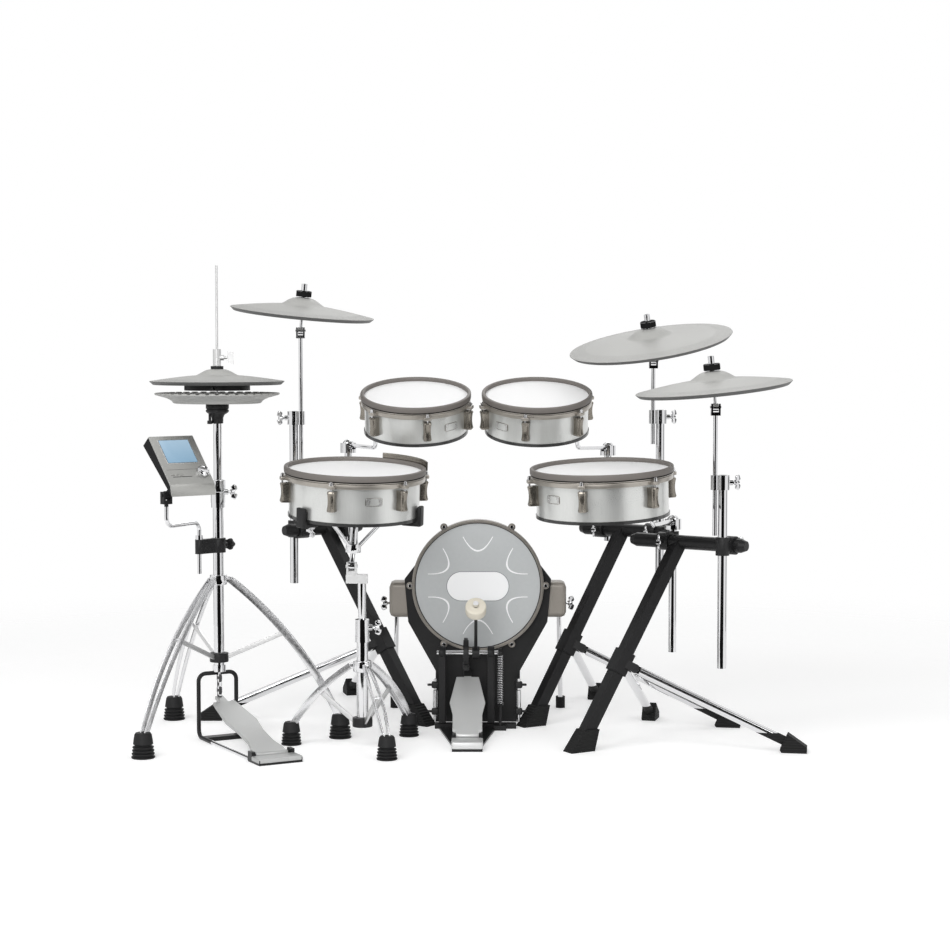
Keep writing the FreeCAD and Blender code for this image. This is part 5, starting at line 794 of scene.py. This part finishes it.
chromed = (plate_dark, plate_light, 0.03, 0.08, 1.0)
blackened = ((0.007, 0.007, 0.007), (0.015, 0.015, 0.016), 0.45, 0.65, 0.0)
satin = ((0.58, 0.58, 0.58), (0.72, 0.72, 0.72), 0.30, 0.42, 0.85)
felt_bottom, felt_top, above_rod = 0.8795, 0.8872, 1.2
dress("hihat_pull_rod", banded_finish(
    "pull_rod_chrome", chromed, (felt_bottom, felt_top, blackened), (felt_top, above_rod, satin)))

dish_profile = rounded([
    (0.0042, 0.7990), (0.1030, 0.7990), (0.1075, 0.8060), (0.1200, 0.8120), (0.1470, 0.8195),
    (0.1470, 0.8220), (0.1370, 0.8218), (0.1140, 0.8165), (0.1020, 0.8045), (0.0042, 0.8045)], 0.004)
dish = spun(dish_profile, 320)
tooth_count = 40
tooth_angle = np.arctan2(dish[..., 1], dish[..., 0]) * tooth_count
at_rim = (np.hypot(dish[..., 0], dish[..., 1]) > 0.1365) & (dish[..., 2] > 0.8205)
dish[..., 2] += 0.0022 * at_rim * (np.sin(tooth_angle) > -0.1)
seat_profile = [
    (0.0042, 0.7985), (0.0265, 0.7985), (0.0272, 0.7975), (0.0272, 0.7865), (0.0250, 0.7855),
    (0.0250, 0.7845), (0.0272, 0.7835), (0.0272, 0.7795), (0.0250, 0.7770), (0.0170, 0.7720),
    (0.0140, 0.7650), (0.0135, 0.7515), (0.0042, 0.7515)]
cymbal_grey = plain_finish("lower_cymbal_grey", (0.36, 0.36, 0.345), (0.42, 0.42, 0.405), 0.42, 0.56, 160.0)
lower_dish = skin("lower_cymbal_dish", "base", cymbal_grey, [dish + hihat_axis], loop=True)
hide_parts("hihat_bottom_cymbal")
seat = spun(np.array(seat_profile), 64) + hihat_axis
seat_piece = skin("lower_cymbal_seat", "base", black_nylon, [seat], loop=True)
screw_axis = hihat_axis + np.array([-0.0165, -0.012, 0.0])
screw_ring = spindle([(0.0032, 0)], 16)[0, :, :2]
tilt_screw = swept([(0, 0, 0.782), (0, 0, 0.764), (0, 0, 0.757)], screw_ring, (1, 0, 0))
tilt_head = spindle([(0.0, 0.750), (0.0060, 0.7505), (0.0064, 0.754), (0.0060, 0.7585), (0.0, 0.759)])
screw_shapes = [tilt_screw + screw_axis, tilt_head + screw_axis]
screw_piece = skin("lower_cymbal_screw", "base", black_nylon, screw_shapes)


def roller_chain(top, bottom, heading, depth, pitch=0.0135):
    """A roller chain hanging straight: flat soft links, each second one narrower and turned to the inside."""
    top, bottom = np.array(top, float), np.array(bottom, float)
    count = int(np.linalg.norm(top - bottom) / pitch)
    turn = turn_about("z", heading)
    links = []
    for index in range(count):
        centre = top + (bottom - top) * (index + 0.5) / count
        width = 0.0068 if index % 2 == 0 else 0.0048
        for side in (-1, 1):
            plate = pebble((0.0011, depth, pitch * 0.72), 0.6, 8, 16) + np.array([side * width, 0, 0])
            links.append(plate @ turn.T + centre)
        roller = pebble((0.0046, depth * 0.95, 0.0040), 0.5, 8, 16)
        links.append(roller @ turn.T + centre)
    return links


chain_metal = plain_finish("chain_metal", (0.05, 0.05, 0.052), (0.12, 0.12, 0.122), 0.25, 0.4, 200.0, 0.9)
pedal_heading = -61.3
pull_chain = roller_chain(hihat_axis + np.array([0, 0, 0.152]), hihat_axis + np.array([0, 0, 0.092]),
                          pedal_heading, 0.0042)
skin("hihat_chain", "hihat_pull", chain_metal, pull_chain)


def cast_finish(name):
    """Satin cast aluminium: bead-blasted grain with brighter rubbed patches."""
    finish = Finish(name, 0.5)
    cast = finish.grain(420.0, (0.40, 0.405, 0.40), (0.52, 0.525, 0.52), 0.36, 0.48)
    return finish.wear(cast["Color"], cast["Roughness"], height=cast["Height"], depth=0.00012)


cast_aluminium = cast_finish("cast_aluminium")
dress("hihat_footboard", cast_aluminium, 0.0015)
hihat_hinge = np.array([-0.4609, -0.4023, 0.0])
hihat_heel = slab((0.0095, -0.0530, 0.0045), (0.0560, 0.0530, 0.0150), 0.0018)
skin("hihat_heel_plate", "base", cast_aluminium,
             [hihat_heel @ turn_about("z", pedal_heading).T + hihat_hinge])


def frame_finish():
    """Black coat on the upright wire, the cross plate and the heel; bright wire along the floor between."""
    finish = Finish("pedal_wire_coat", gloss=0.25)
    along, side, z = finish.split(finish.local(tuple(hihat_hinge), (0, 0, math.radians(pedal_heading))))
    floor_run = finish.between(along, -0.235, -0.012)
    return finish.two_part(floor_run, finish.grain(*coat_grain), finish.grain(*plate_grain), (0.0, 1.0))


dress("hihat_pedal_frame", frame_finish())


# The snare stand: a short chromed column on a low tripod of bent steel strip, with a tilting basket on top.
# Three flat arms and the links below them open under the drum, and rubber grips at their ends hold it.
stand_legs("snare", {
    "foot": np.array([-0.263, -0.240, 0.0]), "tube": 0.0135, "top": 0.189, "reach": 0.170, "bow": 0.012,
    "turn": 52.0, "share": 0.46, "low": 0.058, "collar": 0.026, "boot": (0.024, 0.018, 0.054),
})
dress("snare_lower_tube", chrome)
dress("snare_upper_tube", banded_finish("snare_tube_chrome", chromed, (0.383, 0.45, satin)), 0.0025)


def basket_finish():
    """Chrome arms and links, with black rubber grips at their ends: told apart by the distance from the
    snare's axis."""
    finish = Finish("basket_chrome", gloss=0.25)
    x, y, z = finish.split(finish.local(pads["snare"]["centre"], (0, 0, 0)))
    grip = finish.math("GREATER_THAN", finish.length(x, y), 0.122)
    rubber = finish.grain(200.0, coat_dark, coat_light, 0.5, 0.7)
    return finish.two_part(grip, finish.grain(*plate_grain), rubber, (1.0, 0.0))


dress("snare_basket", basket_finish(), 0.0008)
grips = []
for index in range(3):
    hook = slab((0.1545, -0.0150, -0.1290), (0.1655, 0.0150, -0.0830), 0.0030)
    foot = slab((0.1180, -0.0140, -0.1290), (0.1640, 0.0140, -0.1180), 0.0030)
    grips += [settle(piece, pads["snare"], 105.0 + 120 * index) for piece in (hook, foot)]
skin("snare_grips", "snare", black_nylon, grips)


# The kick tower: a black steel plate carries a film head under a thin metal hoop; cast side housings hold
# two chromed spurs. The head has six pressed-in curves round a glued-on oval patch.
kick_centre = (0.007, 0.060, 0.344)


def kick_head_finish():
    """In polar coordinates about the head's centre: a curve in each sixth, from the distance to a parabola,
    and a patch, from the distance to a short line that is made wide and round."""
    finish = Finish("kick_head_film", 0.0, 0.15)
    x, y, z = finish.split(finish.local(kick_centre, (0, 0, 0)))
    film = finish.grain(120.0, (0.40, 0.418, 0.422), (0.48, 0.495, 0.498), 0.34, 0.46)
    half_patch = finish.math("MAXIMUM", finish.math("SUBTRACT", finish.math("ABSOLUTE", x), 0.0405), 0.0)
    patch_reach = finish.length(half_patch, finish.math("ADD", z, 0.002))
    patch = finish.math("LESS_THAN", patch_reach, 0.0355)
    rim = finish.between(patch_reach, 0.0353, 0.0371)
    sixth = math.pi / 3
    angle = finish.math("SUBTRACT", finish.math("ARCTAN2", z, x), math.pi / 2)
    nearest = finish.math("ROUND", finish.math("DIVIDE", angle, sixth))
    folded = finish.math("SUBTRACT", angle, finish.math("MULTIPLY", nearest, sixth))
    reach = finish.length(x, z)
    side = finish.math("MULTIPLY", reach, finish.math("SINE", folded))
    out = finish.math("MULTIPLY", reach, finish.math("COSINE", folded))
    bowl = finish.math("ADD", finish.math("MULTIPLY", finish.math("MULTIPLY", side, side), 26.0), 0.086)
    curve = finish.math("LESS_THAN", finish.math("ABSOLUTE", finish.math("SUBTRACT", out, bowl)), 0.0022)
    short = finish.math("LESS_THAN", out, 0.121)
    pressed = finish.math("MULTIPLY", curve, short)
    colour = finish.mix(pressed, film["Color"], (0.92, 0.92, 0.93))
    colour = finish.mix(rim, colour, (0.20, 0.21, 0.22))
    colour = finish.mix(patch, colour, (0.88, 0.885, 0.89))
    height = finish.math("ADD", finish.math("MULTIPLY", patch, 0.6), pressed)
    return finish.wear(colour, film["Roughness"], height=height, depth=0.0005)


def on_kick(points):
    """Points about the head's centre, with Z towards the player, put where the head stands."""
    return points @ turn_about("x", 90).T + np.array(kick_centre)


dress("kick_head", kick_head_finish())
kick_hoop_metal = plain_finish("kick_hoop_metal", (0.20, 0.185, 0.165), (0.27, 0.25, 0.225), 0.26, 0.36,
                               300.0, 0.8, 0.2)
hoop_outline = rounded([(0.1584, -0.025), (0.1630, -0.025), (0.1630, 0.005), (0.1552, 0.005),
                        (0.1552, 0.0006), (0.1584, 0.0006)], 0.0018)
hoop_ring = skin("kick_hoop_ring", "base", kick_hoop_metal, [on_kick(spun(hoop_outline, 160))], loop=True,
                 sharp=50)
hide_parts("kick_hoop")
# A thin near-black ring on the head just inside the hoop: painted shade in the crease where the hoop meets
# the head.
shade_line_outline = rounded([(0.1536, 0.0), (0.1555, 0.0), (0.1555, 0.0014), (0.1536, 0.0014)], 0.0004)
hoop_shade_line = skin("kick_hoop_shade_line", "base", painted_shade_black, [on_kick(spun(shade_line_outline, 160))], loop=True)
ear_profile = [(0.0, -0.0022), (0.0086, -0.0022), (0.0090, -0.0014), (0.0090, 0.0040), (0.0080, 0.0052),
               (0.0060, 0.0055), (0.0, 0.0055)]
bolt_profile = [(0.0, 0.0050), (0.0045, 0.0050), (0.0045, 0.0092), (0.0036, 0.0104), (0.0020, 0.0104),
                (0.0018, 0.0086), (0.0, 0.0086)]
for part, profile, material, slot in (
    ("ears", ear_profile, kick_hoop_metal, "taupe_metal"), ("bolts", bolt_profile, chrome, "chrome"),
):
    shape = spindle(profile, 32) + np.array([0.1675, 0, 0])
    around = [on_kick(shape @ turn_about("z", 60 * index).T) for index in range(6)]
    skin(f"kick_hoop_{part}", "base", material, around)
dress("kick_plate", black_coat, 0.0015)
housing_paint = plain_finish("housing_paint", (0.22, 0.20, 0.175), (0.30, 0.275, 0.245), 0.34, 0.46, 320.0,
                             0.35)
dress("kick_housings", housing_paint, 0.012)
dress("kick_spurs", shod_finish("spur_chrome", 0.0302, 1.0, plate_grain))


# Two adjustable anchors stand at the sides of the plate. Each is a threaded rod with a bright sleeve,
# held in two black lugs.
anchor_rod = [(0.0, 0.010), (0.0045, 0.0105), (0.0045, 0.046), (0.0062, 0.047), (0.0062, 0.088),
              (0.0045, 0.089), (0.0045, 0.117), (0.0, 0.1175)]
anchor_rods, anchor_lugs = [], []
for side, place in ((-1, -0.0975), (1, 0.1075)):
    anchor = np.array([place, 0.030, 0.0])
    anchor_rods.append(spindle(anchor_rod) + anchor)
    for height in (0.036, 0.102):
        lug_place = anchor + np.array([0, 0, height])
        anchor_lugs.append(pebble((0.0095, 0.008, 0.0085), 0.4) + lug_place)
        anchor_lugs.append(pebble((0.0065, 0.003, 0.003), 0.5) + lug_place + np.array([side * 0.0135, 0, 0]))
skin("anchor_rods", "base", chrome, anchor_rods)
skin("anchor_lugs", "base", black_nylon, anchor_lugs)


# The kick pedal: black cast frame and base, a chromed axle with a chain cam, a felt beater, and a coil
# spring beside the frame that pulls the beater back.
dress("pedal_base", black_coat, 0.0012)
dress("pedal_frame", black_coat, 0.0020)
axle_height = 0.186
felt_start, felt_end = 0.164, 0.1905


def axle_finish():
    """Plated shaft and beater nut, and black paint on the cam, the hub, the rocker and the beater's rod:
    the two are told apart by the distance from the axle's line."""
    finish = Finish("pedal_axle_metal", gloss=0.3)
    x, y, z = finish.split(finish.place)
    reach = finish.length(y, finish.math("SUBTRACT", z, axle_height))
    shaft = finish.math("LESS_THAN", reach, 0.0058)
    plated = finish.math("MAXIMUM", shaft, finish.math("GREATER_THAN", reach, felt_end))
    return finish.two_part(plated, finish.grain(*coat_grain), finish.grain(*plate_grain), (0.0, 1.0))


dress("pedal_axle", axle_finish())
dress("pedal_spring", chrome)


def board_finish():
    """Satin cast aluminium up to the toe, and black metal on the strap and the chain beyond it."""
    finish = Finish("pedal_board_metal", gloss=0.3)
    x, y, z = finish.split(finish.place)
    beyond = finish.math("GREATER_THAN", y, 0.0075)
    cast = finish.grain(420.0, (0.56, 0.565, 0.56), (0.68, 0.685, 0.68), 0.34, 0.46)
    links = finish.grain(200.0, (0.02, 0.02, 0.02), (0.05, 0.05, 0.05), 0.3, 0.45)
    return finish.two_part(beyond, cast, links, (0.45, 0.6), cast["Height"], 0.00012)


board_metal = board_finish()
dress("pedal_footboard", board_metal, 0.0015)
kick_chain = roller_chain((-0.022, 0.0345, 0.1850), (-0.022, 0.0345, 0.1260), 0.0, 0.0026)
skin("kick_chain", "pedal_footboard", chain_metal, kick_chain)
kick_heel = slab((-0.0545, -0.3108, 0.0060), (0.0185, -0.2490, 0.0225), 0.0025)
skin("kick_heel_plate", "base", board_metal, [kick_heel])
beater_lean = 46.0
beater_felt = plain_finish("beater_felt", (0.72, 0.67, 0.56), (0.82, 0.77, 0.66), 0.8, 0.95, 900.0,
                           depth=0.0006)
beater_outline = rounded([(0.0045, felt_start), (0.0250, felt_start), (0.0250, felt_end), (0.0045, felt_end)],
                         0.0045)
beater = spun(beater_outline, 64) @ turn_about("x", beater_lean).T + np.array([0.002, 0, axle_height])
felt_piece = skin("beater_felt", "beater", beater_felt, [beater], loop=True)
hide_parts("pedal_beater")


# The sound module: a black moulded case behind a brushed aluminium face with a lit screen and a turned dial,
# on a bent chromed arm.
module_centre = (-0.675, -0.300, 0.656)
module_yaw, module_pitch = math.radians(40), math.radians(41)
half_case = 0.0165


def module_local(finish):
    """Coordinates on the module's face: X across, Y up the face, Z out of it."""
    return finish.split(finish.local(module_centre, (math.pi / 2 - module_pitch, 0, module_yaw)))


def on_module(points):
    """Points on the module's own axes, put where the module hangs."""
    turn = turn_about("z", math.degrees(module_yaw)) @ turn_about("x", 90 - math.degrees(module_pitch))
    return points @ turn.T + np.array(module_centre)


def bar_across(outline, half_width, soft):
    """A bar along X: the outline's (y, z) pairs, carried across and drawn in a little at both ends."""
    middle = outline.mean(axis=0)
    reach = np.abs(outline - middle).max(axis=0)
    rows = []
    inner = half_width - soft
    for place, inset in ((-half_width, soft), (-inner, 0.0), (inner, 0.0), (half_width, soft)):
        ring = middle + (outline - middle) * (1 - inset / reach)
        rows.append(np.column_stack([np.full(len(ring), place), ring]))
    return np.stack(rows)


def face_finish():
    """Aluminium brushed across the face, in its colour and its roughness."""
    finish = Finish("module_face_metal", 0.55)
    x, y, z = module_local(finish)
    brushed = finish.add("ShaderNodeCombineXYZ")
    finish.join(finish.math("MULTIPLY", x, 12.0), brushed.inputs["X"])
    finish.join(finish.math("MULTIPLY", y, 900.0), brushed.inputs["Y"])
    metal = finish.grain(3.0, (0.30, 0.30, 0.285), (0.42, 0.42, 0.405), 0.36, 0.5, brushed.outputs[0])
    return finish.wear(metal["Color"], metal["Roughness"])


def screen_finish():
    """A lit screen behind glass: pale blue that deepens down the face, with faint clouds; it glows."""
    finish = Finish("module_screen_glass", 0.0, 0.0, 0.4)
    x, y, z = module_local(finish)
    down = finish.math("MULTIPLY_ADD", y, -9.0, 0.75)
    clouds = finish.grain(26.0, (0.0, 0.0, 0.0), (1.0, 1.0, 1.0), 0.10, 0.14)
    shade = finish.math("MULTIPLY_ADD", clouds["Color"], 0.3, down)
    lit = finish.mix(shade, (0.42, 0.53, 0.61), (0.22, 0.34, 0.44))
    finish.join(lit, finish.shader.inputs["Emission Color"])
    finish.shader.inputs["Emission Strength"].default_value = 0.55
    return finish.wear(finish.mix(shade, (0.20, 0.28, 0.36), (0.10, 0.19, 0.28)), clouds["Roughness"])


face_metal = face_finish()
face_top = half_case
panel_outline = np.array([
    (0.0800, face_top - 0.0030), (0.0805, face_top - 0.0006), (0.0798, face_top), (-0.0570, face_top),
    (-0.0600, face_top - 0.0004), (-0.0625, face_top - 0.0016), (-0.0645, face_top - 0.0030),
    (-0.0822, 0.0026), (-0.0830, 0.0019), (-0.0826, 0.0015), (-0.0806, 0.0016), (-0.0608, face_top - 0.0030)])
panel_shape = on_module(bar_across(panel_outline, 0.059, 0.0012))
panel = skin("module_panel", "module", face_metal, [panel_shape], sharp=40)
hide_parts("module_face")
screen_middle = 0.0346


def screen_sheet(part, half_width, half_height, lift, material):
    """A thin sheet about the middle of the screen, standing out of the face by its lift."""
    sheet = slab((-half_width, screen_middle - half_height, face_top - 0.0010),
                 (half_width, screen_middle + half_height, face_top + lift), 0.0003)
    return skin(f"module_screen_{part}", "module", material, [on_module(sheet)])


screen_sheet("frame", 0.0420, 0.0355, 0.0007, badge_metal)
# The near-black edge round the glass is painted shade of the screen's recess.
screen_sheet("edge", 0.0402, 0.0337, 0.0009, painted_shade_black)
screen_sheet("glass", 0.0393, 0.0328, 0.0011, screen_finish())
# Two thin near-black lines on the face: painted shade in its slots.
slot_shades = [slab((-0.0520, -0.0178, face_top - 0.001), (0.0520, -0.0172, face_top + 0.0002), 0.0002),
         slab((-0.0430, -0.0390, face_top - 0.001), (0.0080, -0.0376, face_top + 0.0003), 0.0002)]
skin("module_slot_shades", "module", painted_shade_black, [on_module(line) for line in slot_shades])
buttons = [slab((x - 0.0036, -0.0344, face_top - 0.001), (x + 0.0036, -0.0300, face_top + 0.0018), 0.0007)
           for x in (-0.0425, -0.0306, -0.0187)]
skin("module_buttons", "module", face_metal, [on_module(button) for button in buttons])
case_black = plain_finish("case_black", (0.005, 0.005, 0.005), (0.010, 0.010, 0.011), 0.5, 0.65, 300.0,
                          gloss=0.12)
dress("module_case", case_black, 0.0015)
dress("module_arm", banded_finish("arm_chrome", chromed, (0.566, 0.612, blackened)))
dial_profile = [(0.0, 0.0004), (0.0150, 0.0004), (0.0150, 0.0060), (0.0140, 0.0080), (0.0122, 0.0086),
                (0.0112, 0.0078), (0.0104, 0.0074), (0.0092, 0.0084), (0.0050, 0.0092), (0.0, 0.0094)]
dial_shape = spindle(dial_profile, 48) + np.array([0.0401, -0.0282, face_top])
dial = skin("module_dial_turned", "module_dial", chrome, [on_module(dial_shape)])
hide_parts("module_dial")


# Only reflections see the dark flags round it.
floor_reach = 3.2


def white_floor():
    finish = Finish("floor_white")
    x, y, z = finish.split(finish.place)
    reach = finish.length(x, y)
    fade = finish.add("ShaderNodeMapRange", interpolation_type="SMOOTHSTEP")
    finish.join(reach, fade.inputs["Value"])
    fade.inputs["From Min"].default_value = 1.3
    fade.inputs["From Max"].default_value = floor_reach
    fade.inputs["To Min"].default_value = 1.0
    fade.inputs["To Max"].default_value = 0.0
    finish.join(fade.outputs["Result"], finish.shader.inputs["Alpha"])
    finish.shader.inputs["Base Color"].default_value = (0.82, 0.82, 0.82, 1)
    finish.shader.inputs["Roughness"].default_value = 0.9
    finish.shader.inputs["Specular IOR Level"].default_value = 0.0
    rays = finish.add("ShaderNodeLightPath").outputs
    seen = finish.math("MAXIMUM", rays["Is Camera Ray"], finish.math(
        "MAXIMUM", rays["Is Glossy Ray"], rays["Is Transmission Ray"]))
    finish.shader.inputs["Emission Color"].default_value = (1, 1, 1, 1)
    finish.join(finish.math("MULTIPLY", seen, 0.33), finish.shader.inputs["Emission Strength"])
    return finish.material


def flat_stage(name, corners, material):
    """A flat four-cornered sheet of the studio."""
    mesh = bpy.data.meshes.new(name)
    mesh.from_pydata(corners, [], [(0, 1, 2, 3)])
    mesh.materials.append(material)
    sheet = bpy.data.objects.new(name, mesh)
    bpy.context.scene.collection.objects.link(sheet)
    return sheet


flat_stage("studio_floor", [(-floor_reach, -floor_reach, 0), (floor_reach, -floor_reach, 0),
                            (floor_reach, floor_reach, 0), (-floor_reach, floor_reach, 0)], white_floor())
wall_paint = plain_finish("wall_paint", (0.004, 0.004, 0.004), (0.008, 0.008, 0.008), 0.8, 0.9, 2.0,
                          gloss=0.0)
flag_reach, flag_top = 5.6, 4.6
hidden_flags = []
for flag, (start, end) in {
    "behind_camera": (-122.0, -58.0), "side_right": (-6.0, 10.0), "far_left": (122.0, 146.0),
}.items():
    edges = [(flag_reach * math.cos(math.radians(angle)), flag_reach * math.sin(math.radians(angle)))
             for angle in (start, end)]
    wall = [(*edges[0], -0.4), (*edges[1], -0.4), (*edges[1], flag_top), (*edges[0], flag_top)]
    hidden_flags.append(flat_stage(f"studio_{flag}_flag", wall, wall_paint))
ceiling = [(-3.0, -3.4, flag_top), (3.0, -3.4, flag_top), (3.0, -1.5, flag_top), (-3.0, -1.5, flag_top)]
hidden_flags.append(flat_stage("studio_ceiling_flag", ceiling, wall_paint))
apron = [(-0.9, -1.1, 0.002), (1.0, -1.1, 0.002), (3.2, -5.2, 0.002), (-3.2, -5.2, 0.002)]
hidden_flags.append(flat_stage("studio_apron_flag", apron, wall_paint))
for dark_wall in hidden_flags:
    dark_wall.visible_camera = False
    dark_wall.visible_diffuse = False
    dark_wall.visible_shadow = False


def soft_lamp(name, place, aim, size, power):
    """A square area lamp at a place, turned to its aim."""
    data = bpy.data.lights.new(name, "AREA")
    data.energy = power
    data.size = size
    lamp = bpy.data.objects.new(name, data)
    lamp.location = place
    way = np.array(aim) - np.array(place)
    tilt = math.acos(-way[2] / np.linalg.norm(way))
    lamp.rotation_euler = (tilt, 0, math.atan2(way[1], way[0]) - math.pi / 2)
    bpy.context.scene.collection.objects.link(lamp)


soft_lamp("key_lamp", (-2.2, -3.0, 4.2), (0, 0, 0.5), 2.6, 95.0)
soft_lamp("fill_lamp", (3.0, -3.0, 3.0), (0, 0, 0.5), 2.2, 40.0)
soft_lamp("back_lamp", (0.6, 3.2, 3.6), (0, 0, 0.6), 2.4, 30.0)
soft_lamp("front_lamp", (-0.8, -6.2, 1.9), (0, 0, 0.5), 2.6, 190.0)
world = bpy.data.worlds.new("studio_world")
bpy.context.scene.world = world
world.use_nodes = True
sky = world.node_tree
rays = sky.nodes.new("ShaderNodeLightPath").outputs
seen = sky.nodes.new("ShaderNodeMath")
seen.operation = "MAXIMUM"
mirror = sky.nodes.new("ShaderNodeMath")
mirror.operation = "MAXIMUM"
level = sky.nodes.new("ShaderNodeMapRange")
level.inputs["To Min"].default_value = 0.42
level.inputs["To Max"].default_value = 1.0
sky.links.new(rays["Is Glossy Ray"], mirror.inputs[0])
sky.links.new(rays["Is Transmission Ray"], mirror.inputs[1])
sky.links.new(rays["Is Camera Ray"], seen.inputs[0])
sky.links.new(mirror.outputs[0], seen.inputs[1])
sky.links.new(seen.outputs[0], level.inputs["Value"])
sky.nodes["Background"].inputs["Color"].default_value = (1, 1, 1, 1)
sky.links.new(level.outputs["Result"], sky.nodes["Background"].inputs["Strength"])
bpy.context.scene.view_settings.view_transform = "Standard"
